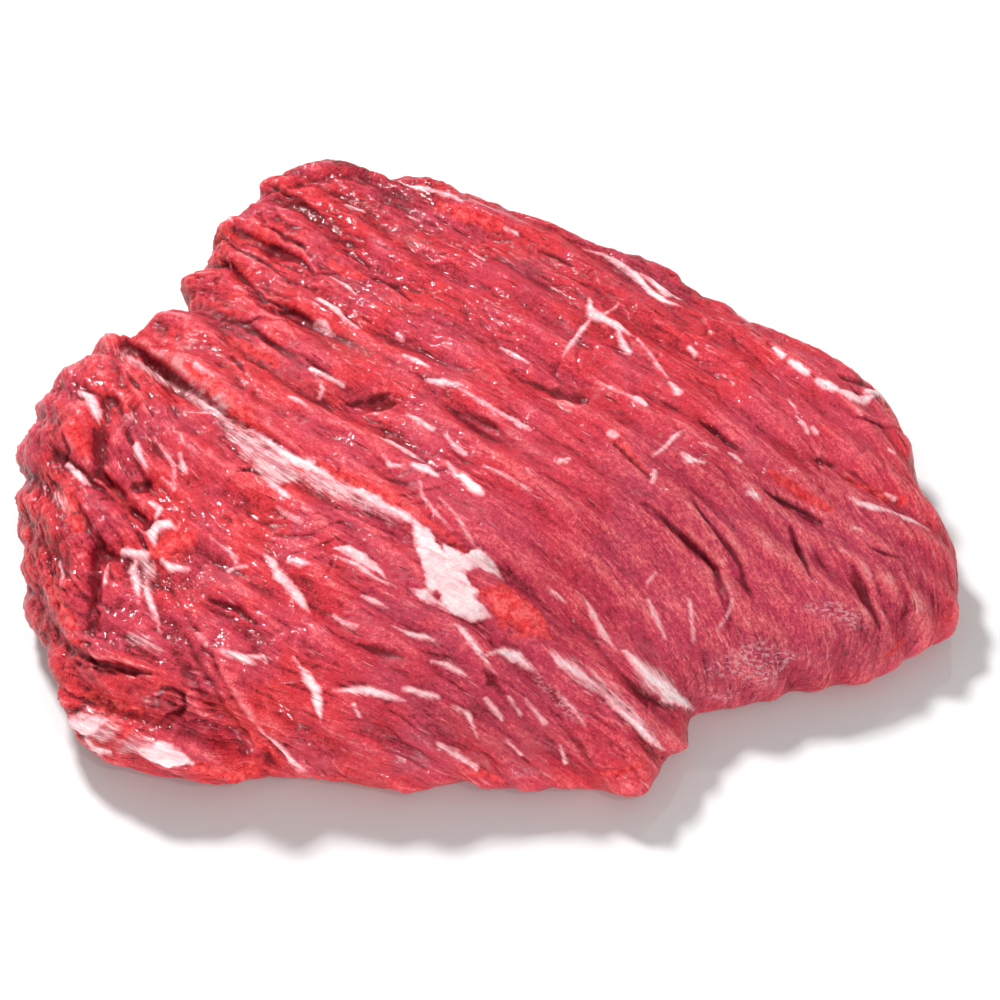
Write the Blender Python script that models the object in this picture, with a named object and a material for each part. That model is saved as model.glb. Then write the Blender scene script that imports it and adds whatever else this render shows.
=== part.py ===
"""Beef chuck: one raw, boneless slab of beef shoulder that lies on its flat cut face.

Places and sizes below are in millimetres; the finished mesh is in metres. +X runs along the
slab, +Y away from its front, +Z up. Two muscles make the slab: the large flat one behind and the
rounded lobe along the front left, with a crevice between them.
"""
import bmesh
import bpy
import numpy as np

NAME = "beef_chuck"
LENGTH = 340.0
METRES = 0.001

# Quads along each side of the sheet that becomes the top and the walls
SHEET_QUADS = 73
# Shares of the sheet, from its middle out, where the top and then the wall end
TOP_SHARE = 0.66
WALL_SHARE = 0.92
# How square the shoulder is: 1 is a round one
SHOULDER_POWER = 0.85
HALF_TURN = np.pi / 2

# Plan outline, anticlockwise from the right-hand end
OUTLINE = np.array([
    (167, -76), (163, -48), (154, -24), (149, -5), (140, 9), (116, 24), (90, 38), (64, 58), (40, 69),
    (11, 83), (-14, 95), (-42, 101), (-66, 107), (-84, 97), (-93, 82), (-105, 70), (-107, 55), (-112, 36),
    (-121, 27), (-135, 23), (-147, 17), (-158, 2), (-168, -22), (-167, -50), (-163, -74), (-156, -95),
    (-150, -110), (-143, -128), (-127, -142), (-99, -150), (-82, -148), (-60, -148), (-32, -154),
    (-10, -151), (14, -153), (34, -152), (50, -156), (64, -140), (77, -123), (92, -117), (118, -110),
    (139, -104), (151, -95), (163, -87),
], float)

# Crown of the slab: x, y and height, blended over CROWN_REACH
CROWN = np.array([
    (-66, 92, 60), (-18, 76, 59), (40, 56, 56), (92, 30, 51), (140, 0, 45), (156, -40, 37), (148, -76, 31),
    (108, -92, 35), (0, 20, 60), (60, -30, 55), (104, -48, 47), (-20, -50, 58), (-80, 30, 61),
    (-140, 8, 58), (-125, -35, 65), (-70, -80, 62), (-10, -112, 47), (40, -130, 34), (-60, -118, 46),
    (-110, -112, 47), (-150, -60, 52),
], float)
CROWN_REACH = 26.0
# Least weight of a named height, so that the blend holds far from them all
LEAST_WEIGHT = 1e-9

# Edge by bearing in degrees: rounding of the top, height of the rim, rounding under it
EDGE = np.array([
    (0, 26, 15, 12), (30, 18, 20, 14), (60, 16, 22, 14), (100, 16, 22, 14), (130, 14, 24, 14),
    (150, 14, 22, 14), (168, 24, 24, 16), (190, 30, 24, 16), (212, 32, 14, 12), (240, 36, 12, 10),
    (270, 36, 12, 10), (300, 32, 12, 10), (318, 30, 13, 10), (335, 40, 14, 10),
], float)

# Creases in the skin: half width, then places along it with their depth
CREASES = {
    "crevice between the muscles": (8.0, [
        (-138, 28, 4), (-126, 6, 9), (-115, -8, 11), (-102, -23, 10), (-90, -37, 8), (-66, -56, 7),
        (-31, -74, 6), (-7, -85, 5), (19, -99, 5), (45, -114, 6), (56, -123, 6), (77, -134, 6), (88, -146, 5)]),
    "cap of the left end": (5.5, [
        (-140, 84, 4), (-110, 66, 5), (-95, 63, 4), (-81, 55, 4), (-69, 47, 3), (-48, 30, 1)]),
    "top of the cap": (5.0, [(-104, 106, 4), (-90, 91, 4), (-76, 84, 3), (-60, 89, 3), (-42, 88, 1)]),
    "upper step of the left end": (5.5, [
        (-136, 62, 4), (-104, 50, 5), (-94, 44, 4), (-82, 23, 4), (-65, 17, 4), (-30, -4, 3), (10, -30, 1)]),
    "lower step of the left end": (5.5, [
        (-138, 42, 4), (-107, 28, 5), (-94, 16, 4), (-72, 1, 4), (-52, -14, 3), (-34, -22, 1)]),
    "back crack of the right end": (3.5, [(90, -47, 1), (106, -55, 3), (117, -61, 2)]),
    "long crack of the right end": (3.5, [(54, -62, 2), (69, -73, 3), (79, -82, 3), (82, -102, 2)]),
    "middle crack of the right end": (3.5, [(71, -59, 2), (81, -71, 3), (91, -91, 2)]),
    "short crack of the right end": (3.5, [(106, -65, 2), (113, -85, 2)]),
    "front crack of the right end": (3.5, [(125, -77, 2), (128, -88, 3), (135, -97, 2)]),
    "last crack of the right end": (3.5, [(138, -76, 2), (144, -90, 3)]),
    "fold of the lobe": (5.5, [
        (-134, -18, 2), (-136, -36, 5), (-136, -51, 5), (-127, -60, 5), (-119, -59, 3)]),
    "side fold of the lobe": (5.5, [(-154, -42, 3), (-143, -50, 4), (-131, -60, 4), (-116, -76, 2)]),
    "lower fold of the lobe": (5.5, [(-135, -82, 3), (-134, -98, 4), (-137, -112, 3)]),
    "head of the lobe": (5.5, [(-134, 12, 3), (-132, -12, 3), (-125, -26, 2)]),
    "hollow over the lip": (6.5, [
        (-154, -122, 3), (-146, -134, 5), (-131, -141, 6), (-100, -152, 6), (-84, -164, 5)]),
    "hollow behind the front fold": (5.5, [(-112, -108, 2), (-106, -118, 4), (-98, -134, 4), (-90, -154, 4)]),
}

# Ridges on the skin: half width, then places along it with their height
RIDGES = {
    "lip at the foot": (6.5, [(-160, -126, 2), (-152, -144, 5), (-119, -159, 5), (-100, -168, 3)]),
    "front fold": (6.0, [(-106, -100, 1), (-96, -112, 2), (-86, -128, 3), (-76, -148, 3)]),
    "far fold": (5.5, [(-16, 80, 2), (-12, 72, 3), (6, 66, 3), (23, 59, 2)]),
    "seam fat": (7.0, [(-23, -85, 2), (-12, -97, 3), (2, -108, 2)]),
    "seam meat": (5.5, [(-8, -91, 2), (7, -101, 4), (19, -109, 2)]),
    "tendon": (4.5, [(32, -96, 1), (40, -109, 2), (51, -120, 3), (70, -131, 2)]),
    "band above the crevice": (8.0, [(-112, 8, 2), (-90, -18, 3), (-60, -42, 2), (-28, -60, 1)]),
}

# Lumps and, where the height is negative, hollows: x, y, height, long and short reach, bearing in degrees
LUMPS = [
    (-43, -21, -4.0, 16, 8, -5), (25, -15, -3.0, 15, 7, -25), (-3, -31, -2.0, 12, 5, -35),
    (82, -29, -2.0, 12, 6, -45), (52, -44, -2.0, 14, 6, -45), (117, -36, -2.0, 9, 5, -30),
    (129, -2, 2.0, 10, 6, -30), (144, -10, 2.0, 7, 6, -60), (-143, -31, 4.0, 13, 9, 80),
    (-109, -80, 3.0, 10, 8, -20), (-142, -98, 3.0, 15, 10, 80), (-150, -70, 3.0, 12, 9, 80),
    (-107, -140, -3.0, 7, 6, 0), (139, -116, 2.5, 8, 6, 10), (154, -108, 2.5, 7, 6, 30),
    (166, -98, 2.5, 7, 6, 50), (-66, 92, 2.0, 14, 9, 0), (-118, 46, 3.0, 8, 6, -30), (-56, -166, 2.0, 12, 7, 0),
    (-22, -172, 2.5, 10, 7, 0), (12, -170, 2.0, 12, 7, 0), (46, -166, 3.0, 9, 8, 0), (86, -62, 1.5, 26, 16, -40),
]

# Muscle bundles: their bearing, and each wave's spacing across, length along and height
FIBRE_BEARING = np.radians(-38.0)
BUNDLES = [(13.0, 90.0, 0.7), (19.0, 130.0, 0.8), (31.0, 75.0, 0.9)]
BUNDLE_SWAY = 1.4
BUNDLE_SEED = 5

MEAT_COLOUR = (0.52, 0.062, 0.075, 1.0)
MEAT_ROUGHNESS = 0.38


def round_curve(bearing, knots, values):
    """Smooth closed curve through the value at each knot bearing, read at the given bearings."""
    order = np.argsort(knots)
    knots = knots[order]
    values = values[order]
    turn = 2 * np.pi
    around = np.concatenate([knots[-2:] - turn, knots, knots[:2] + turn])
    level = np.concatenate([values[-2:], values, values[:2]])
    place = np.mod(bearing, turn)
    i = np.clip(np.searchsorted(around, place, side="right") - 1, 1, len(around) - 3)
    gap = around[i + 1] - around[i]
    t = (place - around[i]) / gap
    leave = (level[i + 1] - level[i - 1]) / (around[i + 1] - around[i - 1]) * gap
    arrive = (level[i + 2] - level[i]) / (around[i + 2] - around[i]) * gap
    start = (2 * t**3 - 3 * t**2 + 1) * level[i] + (t**3 - 2 * t**2 + t) * leave
    end = (3 * t**2 - 2 * t**3) * level[i + 1] + (t**3 - t**2) * arrive
    return start + end


def crown_height(x, y):
    """Height of the crown: the named heights, each weighted by a bell curve of its distance."""
    away = (x[:, None] - CROWN[:, 0]) ** 2 + (y[:, None] - CROWN[:, 1]) ** 2
    weight = np.exp(-away / (2 * CROWN_REACH**2)) + LEAST_WEIGHT
    return (weight * CROWN[:, 2]).sum(axis=1) / weight.sum(axis=1)


def slab_form(p, q):
    """Places in space and on the flattened skin for the square sheet places p and q, from -1 to 1.

    The square is bent to a disk, on which each ring becomes an outline. The inner rings spread over the
    crown, the next ones turn down round the shoulder to the rim, and the last ones turn under to the ground.
    """
    east = p * np.sqrt(1 - q**2 / 2)
    north = q * np.sqrt(1 - p**2 / 2)
    ring = np.hypot(east, north)
    bearing = np.arctan2(north, east)

    outline_bearing = np.mod(np.arctan2(OUTLINE[:, 1], OUTLINE[:, 0]), 2 * np.pi)
    radius = round_curve(bearing, outline_bearing, np.hypot(OUTLINE[:, 0], OUTLINE[:, 1]))
    edge_bearing = np.radians(EDGE[:, 0])
    top_round = round_curve(bearing, edge_bearing, EDGE[:, 1])
    rim_height = round_curve(bearing, edge_bearing, EDGE[:, 2])
    low_round = round_curve(bearing, edge_bearing, EDGE[:, 3])

    inner = np.clip(ring / TOP_SHARE, 0, 1)
    over = np.clip((ring - TOP_SHARE) / (WALL_SHARE - TOP_SHARE), 0, 1) * HALF_TURN
    under = np.clip((ring - WALL_SHARE) / (1 - WALL_SHARE), 0, 1) * HALF_TURN
    shoulder = top_round * np.sin(over) ** SHOULDER_POWER
    reach = (radius - top_round) * inner + shoulder - low_round * (1 - np.cos(under))
    x = reach * np.cos(bearing)
    y = reach * np.sin(bearing)
    crown = crown_height(x, y)
    drop = np.maximum(np.cos(over), 0) ** SHOULDER_POWER
    z = np.where(under > 0, rim_height * (1 - np.sin(under)), rim_height + (crown - rim_height) * drop)

    wall_length = 0.5 * (top_round + crown - rim_height) * over + 0.5 * (low_round + rim_height) * under
    spread = (radius - top_round) * inner + wall_length
    skin = np.column_stack([spread * np.cos(bearing), spread * np.sin(bearing)])
    return np.column_stack([x, y, z]), skin, ring


def along_path(skin, path):
    """Distance from each skin place to the path, and the path's own value there."""
    nearest = np.full(len(skin), np.inf)
    value = np.zeros(len(skin))
    for (x0, y0, value0), (x1, y1, value1) in zip(path[:-1], path[1:]):
        run = np.array([x1 - x0, y1 - y0], float)
        t = np.clip(((skin - (x0, y0)) @ run) / (run @ run), 0, 1)
        away = np.hypot(*(skin - (x0, y0) - t[:, None] * run).T)
        closer = away < nearest
        nearest = np.where(closer, away, nearest)
        value = np.where(closer, value0 + t * (value1 - value0), value)
    return nearest, value


def path_relief(skin, half_width, path):
    """Bell-shaped relief along a path, as high as the path's value."""
    away, height = along_path(skin, path)
    return height * np.exp(-((away / half_width) ** 2))


def lump_relief(skin, x, y, height, long_reach, short_reach, degrees):
    """Oval bell-shaped lump on the skin."""
    turn = np.radians(degrees)
    east = skin[:, 0] - x
    north = skin[:, 1] - y
    along = (east * np.cos(turn) + north * np.sin(turn)) / long_reach
    across = (north * np.cos(turn) - east * np.sin(turn)) / short_reach
    return height * np.exp(-(along**2) - across**2)


def bundle_relief(skin):
    """Waves across the grain that sway along it, for the muscle bundles."""
    random = np.random.default_rng(BUNDLE_SEED)
    along = skin[:, 0] * np.cos(FIBRE_BEARING) + skin[:, 1] * np.sin(FIBRE_BEARING)
    across = skin[:, 1] * np.cos(FIBRE_BEARING) - skin[:, 0] * np.sin(FIBRE_BEARING)
    relief = np.zeros(len(skin))
    for spacing, length, height in BUNDLES:
        first, second = random.uniform(0, 2 * np.pi, 2)
        sway = BUNDLE_SWAY * np.sin(2 * np.pi * along / length + first)
        relief += height * np.sin(2 * np.pi * across / spacing + sway + second)
    return relief


def skin_relief(skin):
    """All the relief of the skin, outward in millimetres."""
    relief = bundle_relief(skin)
    for half_width, path in CREASES.values():
        relief -= path_relief(skin, half_width, path)
    for half_width, path in RIDGES.values():
        relief += path_relief(skin, half_width, path)
    for lump in LUMPS:
        relief += lump_relief(skin, *lump)
    return relief


def mould_sheet(bm):
    """Bend a flat sheet to the slab's form and push its relief out along the surface."""
    bmesh.ops.create_grid(bm, x_segments=SHEET_QUADS, y_segments=SHEET_QUADS, size=1.0)
    square = np.array([vert.co for vert in bm.verts])
    form, skin, ring = slab_form(square[:, 0], square[:, 1])
    for vert, place in zip(bm.verts, form):
        vert.co = place
    bm.normal_update()
    outward = np.array([vert.normal for vert in bm.verts])
    outward *= np.sign(outward[np.argmin(ring), 2])
    fade = np.clip((1 - ring) / (1 - WALL_SHARE), 0, 1)[:, None]
    moulded = form + outward * fade * skin_relief(skin)[:, None]
    moulded[:, 2] = np.maximum(moulded[:, 2], 0)
    for vert, place in zip(bm.verts, moulded):
        vert.co = place


def close_base(bm):
    """Fill the open edge of the sheet with one flat face, the cut face that the slab lies on."""
    open_edges = [edge for edge in bm.edges if edge.is_boundary]
    for edge in open_edges:
        for vert in edge.verts:
            vert.co.z = 0
    bmesh.ops.edgeloop_fill(bm, edges=open_edges)
    bmesh.ops.recalc_face_normals(bm, faces=bm.faces)
    bmesh.ops.triangulate(bm, faces=bm.faces)


def centre_and_size(bm):
    """Scale the slab to its length and put the middle of its box over the origin, on the ground."""
    places = np.array([vert.co for vert in bm.verts])
    low = places.min(axis=0)
    high = places.max(axis=0)
    scale = LENGTH / (high[0] - low[0]) * METRES
    middle = np.array([(low[0] + high[0]) / 2, (low[1] + high[1]) / 2, low[2]])
    for vert, place in zip(bm.verts, (places - middle) * scale):
        vert.co = place


def meat_material():
    """Plain raw beef: deep red and a little moist."""
    material = bpy.data.materials.new("raw_beef")
    material.use_nodes = True
    shader = material.node_tree.nodes["Principled BSDF"]
    shader.inputs["Base Color"].default_value = MEAT_COLOUR
    shader.inputs["Roughness"].default_value = MEAT_ROUGHNESS
    shader.inputs["Metallic"].default_value = 0.0
    material.diffuse_color = MEAT_COLOUR
    return material


def clear_scene():
    """Remove every object from the scene."""
    for item in list(bpy.data.objects):
        bpy.data.objects.remove(item, do_unlink=True)


def build():
    """Make the slab as one closed body in a collection of its own name."""
    clear_scene()
    bm = bmesh.new()
    mould_sheet(bm)
    close_base(bm)
    centre_and_size(bm)
    mesh = bpy.data.meshes.new(NAME)
    bm.to_mesh(mesh)
    bm.free()
    mesh.materials.append(meat_material())
    slab = bpy.data.objects.new(NAME, mesh)
    collection = bpy.data.collections.new(NAME)
    bpy.context.scene.collection.children.link(collection)
    collection.objects.link(slab)


build()
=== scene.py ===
"""Looks of the raw beef chuck: its wet grained skin, seam fat and marbling, in plain studio light.

Lengths are in millimetres in the maker's frame of the slab until each piece is finished, when they are
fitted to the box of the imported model, in metres. +X runs along the slab, +Y away from its front, +Z up.
Most shapes are worked out on the flattened skin: the slab's top with its walls folded out flat round it.
"""

import bpy
import numpy as np
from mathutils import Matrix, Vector


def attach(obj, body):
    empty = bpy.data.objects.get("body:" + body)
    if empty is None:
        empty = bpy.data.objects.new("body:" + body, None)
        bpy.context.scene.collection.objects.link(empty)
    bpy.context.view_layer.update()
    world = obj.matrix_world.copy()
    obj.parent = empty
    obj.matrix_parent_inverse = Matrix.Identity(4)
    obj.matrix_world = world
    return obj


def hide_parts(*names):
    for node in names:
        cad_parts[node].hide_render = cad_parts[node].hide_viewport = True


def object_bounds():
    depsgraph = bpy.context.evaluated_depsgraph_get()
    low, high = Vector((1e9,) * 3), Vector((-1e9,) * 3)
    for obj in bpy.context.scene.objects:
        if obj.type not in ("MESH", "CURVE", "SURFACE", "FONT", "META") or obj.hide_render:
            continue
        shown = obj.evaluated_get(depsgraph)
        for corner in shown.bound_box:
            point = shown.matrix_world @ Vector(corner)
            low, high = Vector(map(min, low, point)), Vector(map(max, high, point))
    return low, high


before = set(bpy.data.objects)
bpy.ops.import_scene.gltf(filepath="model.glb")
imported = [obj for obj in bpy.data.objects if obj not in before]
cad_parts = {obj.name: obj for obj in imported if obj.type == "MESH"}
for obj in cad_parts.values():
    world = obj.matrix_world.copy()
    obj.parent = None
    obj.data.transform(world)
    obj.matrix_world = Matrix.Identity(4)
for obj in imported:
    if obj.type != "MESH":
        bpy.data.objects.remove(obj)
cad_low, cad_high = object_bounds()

QUARTER_TURN = np.pi / 2

# Camera of the photo, in the maker's frame: height above the horizon, distance, aim and scale
VIEW_ELEVATION = np.radians(50.0)
VIEW_DISTANCE = 1250.0
VIEW_AIM = np.array([4.0, -34.0, 18.0])
VIEW_FORWARD = np.array([0, np.cos(VIEW_ELEVATION), -np.sin(VIEW_ELEVATION)])
VIEW_UP = np.array([0, np.sin(VIEW_ELEVATION), np.cos(VIEW_ELEVATION)])
VIEW_PLACE = VIEW_AIM - VIEW_DISTANCE * VIEW_FORWARD
MM_PER_PIXEL = 0.3617
PHOTO_MIDDLE = 500.0
PHOTO_SIDE = 1000.0
SENSOR_WIDTH = 36.0

# Strength of the white surroundings, grey and half width in metres of the floor, and the soft lights, each
# with its place and aim in metres, its width and depth, and its watts
SURROUNDINGS = 0.46
FLOOR_GREY = 0.7
FLOOR_HALF = 3.0
LIGHTS = {
    "above_left": ((-0.48, 0.68, 1.06), (0, 0, 0), 0.2, 0.2, 22.5),
    "low_front": ((0.3, -1.6, 0.3), (0.1, -0.05, 0.03), 0.25, 0.12, 19.0),
    "back_right": ((0.3, 0.85, 1.05), (0.05, -0.02, 0.03), 0.06, 0.06, 1.4),
    "high_front": ((0.35, -0.8, 1.2), (0.1, -0.05, 0.03), 0.07, 0.05, 1.8),
}

# Plan outline, anticlockwise from the right-hand end
OUTLINE = np.array([
    (167, -76), (163, -48), (154, -24), (149, -5), (140, 9), (116, 24), (90, 38), (64, 58), (40, 69),
    (11, 83), (-14, 95), (-42, 101), (-66, 107), (-84, 97), (-93, 82), (-105, 70), (-107, 55), (-112, 36),
    (-121, 27), (-135, 23), (-147, 17), (-158, 2), (-168, -22), (-167, -50), (-163, -74), (-156, -95),
    (-150, -110), (-143, -128), (-127, -142), (-99, -150), (-82, -148), (-60, -148), (-32, -154),
    (-10, -151), (14, -153), (34, -152), (50, -156), (64, -140), (77, -123), (92, -117), (118, -110),
    (139, -104), (151, -95), (163, -87),
], float)

# Crown of the slab: x, y and height, blended over CROWN_REACH
CROWN = np.array([
    (-66, 92, 60), (-18, 76, 59), (40, 56, 56), (92, 30, 51), (140, 0, 45), (156, -40, 37), (148, -76, 31),
    (108, -92, 35), (0, 20, 60), (60, -30, 55), (104, -48, 47), (-20, -50, 58), (-80, 30, 61),
    (-140, 8, 58), (-125, -35, 65), (-70, -80, 62), (-10, -112, 47), (40, -130, 34), (-60, -118, 46),
    (-110, -112, 47), (-150, -60, 52),
], float)
CROWN_REACH = 26.0
# Least weight of a named value, so that a blend holds far from them all
LEAST_WEIGHT = 1e-9

# Edge by bearing in degrees: rounding of the top, height of the rim, rounding under it
EDGE = np.array([
    (0, 26, 15, 12), (30, 18, 20, 14), (60, 16, 22, 14), (100, 16, 22, 14), (130, 14, 24, 14),
    (150, 14, 22, 14), (168, 24, 24, 16), (190, 30, 24, 16), (212, 32, 14, 12), (240, 36, 12, 10),
    (270, 36, 12, 10), (300, 32, 12, 10), (318, 30, 13, 10), (335, 40, 14, 10),
], float)
SHOULDER_POWER = 0.85

# Creases in the skin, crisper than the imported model's: half width, then places along it with their depth
CREASES = {
    "crevice between the muscles": (6.0, [
        (-138, 28, 4), (-126, 6, 5), (-115, -8, 5), (-102, -23, 4), (-90, -37, 3), (-66, -56, 3),
        (-31, -74, 3), (-7, -85, 3), (19, -99, 3), (45, -114, 4), (56, -123, 5), (77, -134, 5), (88, -146, 4)]),
    "cap of the left end": (2.8, [
        (-140, 84, 3), (-110, 66, 3.6), (-95, 63, 3), (-81, 55, 3), (-69, 47, 2), (-48, 30, 1)]),
    "top of the cap": (2.6, [(-104, 106, 3), (-90, 91, 3), (-76, 84, 2), (-60, 89, 2), (-42, 88, 1)]),
    "upper step of the left end": (2.8, [
        (-136, 62, 2.2), (-104, 50, 2.6), (-94, 44, 2.4), (-82, 23, 2.2), (-65, 17, 2), (-30, -4, 1.4),
        (10, -30, 1)]),
    "lower step of the left end": (2.8, [
        (-138, 42, 1.2), (-107, 28, 1.4), (-94, 16, 1.3), (-72, 1, 1.2), (-52, -14, 0.9), (-34, -22, 0.5)]),
    "back crack of the right end": (1.5, [(90, -47, 0.6), (106, -55, 1.6), (117, -61, 1)]),
    "long crack of the right end": (1.5, [(54, -62, 1), (69, -73, 1.6), (79, -82, 1.6), (82, -102, 1)]),
    "middle crack of the right end": (1.5, [(71, -59, 1), (81, -71, 1.6), (91, -91, 1)]),
    "short crack of the right end": (1.4, [(106, -65, 1), (113, -85, 1)]),
    "front crack of the right end": (1.5, [(125, -77, 1), (128, -88, 1.6), (135, -97, 1)]),
    "last crack of the right end": (1.5, [(138, -76, 1), (144, -90, 1.6)]),
    "fold of the lobe": (3.2, [
        (-134, -18, 2), (-136, -36, 4), (-136, -51, 4), (-127, -60, 4), (-119, -59, 3)]),
    "side fold of the lobe": (3.2, [(-154, -42, 3), (-143, -50, 4), (-131, -60, 4), (-116, -76, 2)]),
    "lower fold of the lobe": (3.2, [(-135, -82, 3), (-134, -98, 3), (-137, -112, 2)]),
    "head of the lobe": (3.2, [(-134, 12, 2), (-132, -12, 2), (-125, -26, 2)]),
    "hollow over the lip": (5.0, [
        (-154, -122, 3), (-146, -134, 4), (-131, -141, 5), (-100, -152, 5), (-84, -164, 4)]),
    "hollow behind the front fold": (4.0, [(-112, -108, 2), (-106, -118, 3), (-98, -134, 3), (-90, -154, 3)]),
}

# Ridges on the skin: half width, then places along it with their height
RIDGES = {
    "lip at the foot": (6.5, [(-160, -126, 2), (-152, -144, 5), (-119, -159, 5), (-100, -168, 3)]),
    "front fold": (6.0, [(-106, -100, 1), (-96, -112, 2), (-86, -128, 3), (-76, -148, 3)]),
    "far fold": (5.5, [(-16, 80, 2), (-12, 72, 3), (6, 66, 3), (23, 59, 2)]),
    "seam fat": (7.0, [(-23, -85, 2), (-12, -97, 3), (2, -108, 2)]),
    "seam meat": (5.5, [(-8, -91, 2), (7, -101, 4), (19, -109, 2)]),
    "tendon": (4.5, [(32, -96, 1), (40, -109, 2), (51, -120, 3), (70, -131, 2)]),
    "band above the crevice": (8.0, [(-112, 8, 2), (-90, -18, 3), (-60, -42, 2), (-28, -60, 1)]),
}

# Lumps and, where the height is negative, hollows: x, y, height, long and short reach, bearing in degrees
LUMPS = [
    (-43, -21, -4.0, 16, 8, -5), (25, -15, -3.0, 15, 7, -25), (-3, -31, -2.0, 12, 5, -35),
    (82, -29, -2.0, 12, 6, -45), (52, -44, -2.0, 14, 6, -45), (117, -36, -2.0, 9, 5, -30),
    (129, -2, 2.0, 10, 6, -30), (144, -10, 2.0, 7, 6, -60), (-143, -31, 4.0, 13, 9, 80),
    (-109, -80, 3.0, 10, 8, -20), (-142, -98, 3.0, 15, 10, 80), (-150, -70, 3.0, 12, 9, 80),
    (-107, -140, -3.0, 7, 6, 0), (139, -116, 2.5, 8, 6, 10), (154, -108, 2.5, 7, 6, 30),
    (166, -98, 2.5, 7, 6, 50), (-66, 92, 2.0, 14, 9, 0), (-118, 46, 3.0, 8, 6, -30),
    (-56, -166, 2.0, 12, 7, 0), (-22, -172, 2.5, 10, 7, 0), (12, -170, 2.0, 12, 7, 0),
    (46, -166, 3.0, 9, 8, 0), (86, -62, 1.5, 26, 16, -40), (-113, 42, 4.5, 7, 9, -30),
    (-88, 96, 1.5, 7, 6, 0), (92, 38, 3.5, 8, 6, -30), (154, -18, 4.0, 10, 6, -65),
]

# Muscle bundles: their bearing, and each wave's spacing across, length along and height
FIBRE_BEARING = np.radians(-38.0)
BUNDLES = [(13.0, 90.0, 0.7), (19.0, 130.0, 0.8), (31.0, 75.0, 0.9)]
BUNDLE_SWAY = 1.4
BUNDLE_SEED = 5

# Grain: x, y and bearing in degrees, for the back muscle and for the front lobe
BACK_GRAIN = np.array([
    (-90, 80, -18), (-40, 90, -22), (-100, 40, -34), (-60, 30, -36), (-20, 40, -32), (40, 40, -30),
    (90, 20, -32), (130, -10, -42), (-70, -20, -40), (-30, -40, -34), (20, -20, -33), (60, -30, -36),
    (100, -45, -40), (40, -70, -38), (66, -80, -52), (84, -92, -66), (106, -82, -70), (128, -86, -66),
    (146, -70, -62), (60, -110, -60), (100, -120, -75), (150, -40, -60),
], float)
LOBE_GRAIN = np.array([
    (-140, 0, -80), (-120, -25, -52), (-100, -50, -42), (-60, -75, -30), (-20, -100, -32), (20, -120, -38),
    (55, -140, -45), (-146, -50, -85), (-150, -90, -80), (-120, -80, -48), (-100, -110, -50),
    (-60, -120, -30), (-20, -140, -28), (20, -150, -35), (-130, -150, -20),
], float)
GRAIN_REACH = 24.0
GRAIN_NET_SIDE = 47
GRAIN_NET_REACH = 235.0
# Just short of a whole cell, so that the net's last cell is still read inside it
LAST_CELL = 1.001

# Side of the noise's table, a power of two, and the shift of each layer from the one before
LATTICE_SIDE = 256
LAYER_SHIFT = (17.3, 9.1)

# Quads along each side of a quarter of the sheet that becomes the skin
QUARTER_QUADS = 313
SKIN_QUADS = 2 * QUARTER_QUADS
# The quarters, by their row and column on the sheet
QUARTERS = {"beef_front_left": (0, 0), "beef_front_right": (0, 1), "beef_back_left": (1, 0),
            "beef_back_right": (1, 1)}


def round_curve(bearing, knots, values):
    """Smooth closed curve through the value at each knot bearing, read at the given bearings."""
    order = np.argsort(knots)
    knots = knots[order]
    values = values[order]
    turn = 2 * np.pi
    around = np.concatenate([knots[-2:] - turn, knots, knots[:2] + turn])
    level = np.concatenate([values[-2:], values, values[:2]])
    place = np.mod(bearing, turn)
    i = np.clip(np.searchsorted(around, place, side="right") - 1, 1, len(around) - 3)
    gap = around[i + 1] - around[i]
    t = (place - around[i]) / gap
    leave = (level[i + 1] - level[i - 1]) / (around[i + 1] - around[i - 1]) * gap
    arrive = (level[i + 2] - level[i]) / (around[i + 2] - around[i]) * gap
    start = (2 * t**3 - 3 * t**2 + 1) * level[i] + (t**3 - 2 * t**2 + t) * leave
    end = (3 * t**2 - 2 * t**3) * level[i + 1] + (t**3 - t**2) * arrive
    return start + end


def blended(named, reach, x, y):
    """Mean of the named values, each weighted by a bell curve of its distance from the place."""
    away = (x[..., None] - named[:, 0]) ** 2 + (y[..., None] - named[:, 1]) ** 2
    weight = np.exp(-away / (2 * reach**2)) + LEAST_WEIGHT
    return (weight * named[:, 2]).sum(axis=-1) / weight.sum(axis=-1)


def edge_at(bearing):
    """Radius, top rounding, rim height and lower rounding of the slab's edge at each bearing."""
    outline_bearing = np.mod(np.arctan2(OUTLINE[:, 1], OUTLINE[:, 0]), 2 * np.pi)
    edge_bearing = np.radians(EDGE[:, 0])
    radius = round_curve(bearing, outline_bearing, np.hypot(OUTLINE[:, 0], OUTLINE[:, 1]))
    return radius, *(round_curve(bearing, edge_bearing, EDGE[:, k]) for k in (1, 2, 3))


def wall_lengths(bearing):
    """Where the wall starts on the skin, and the lengths of its shoulder and of its turn under the rim."""
    radius, top_round, rim_height, low_round = edge_at(bearing)
    start = radius - top_round
    crown = blended(CROWN, CROWN_REACH, start * np.cos(bearing), start * np.sin(bearing))
    shoulder = QUARTER_TURN / 2 * (top_round + crown - rim_height)
    return start, shoulder, QUARTER_TURN / 2 * (low_round + rim_height)


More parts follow.
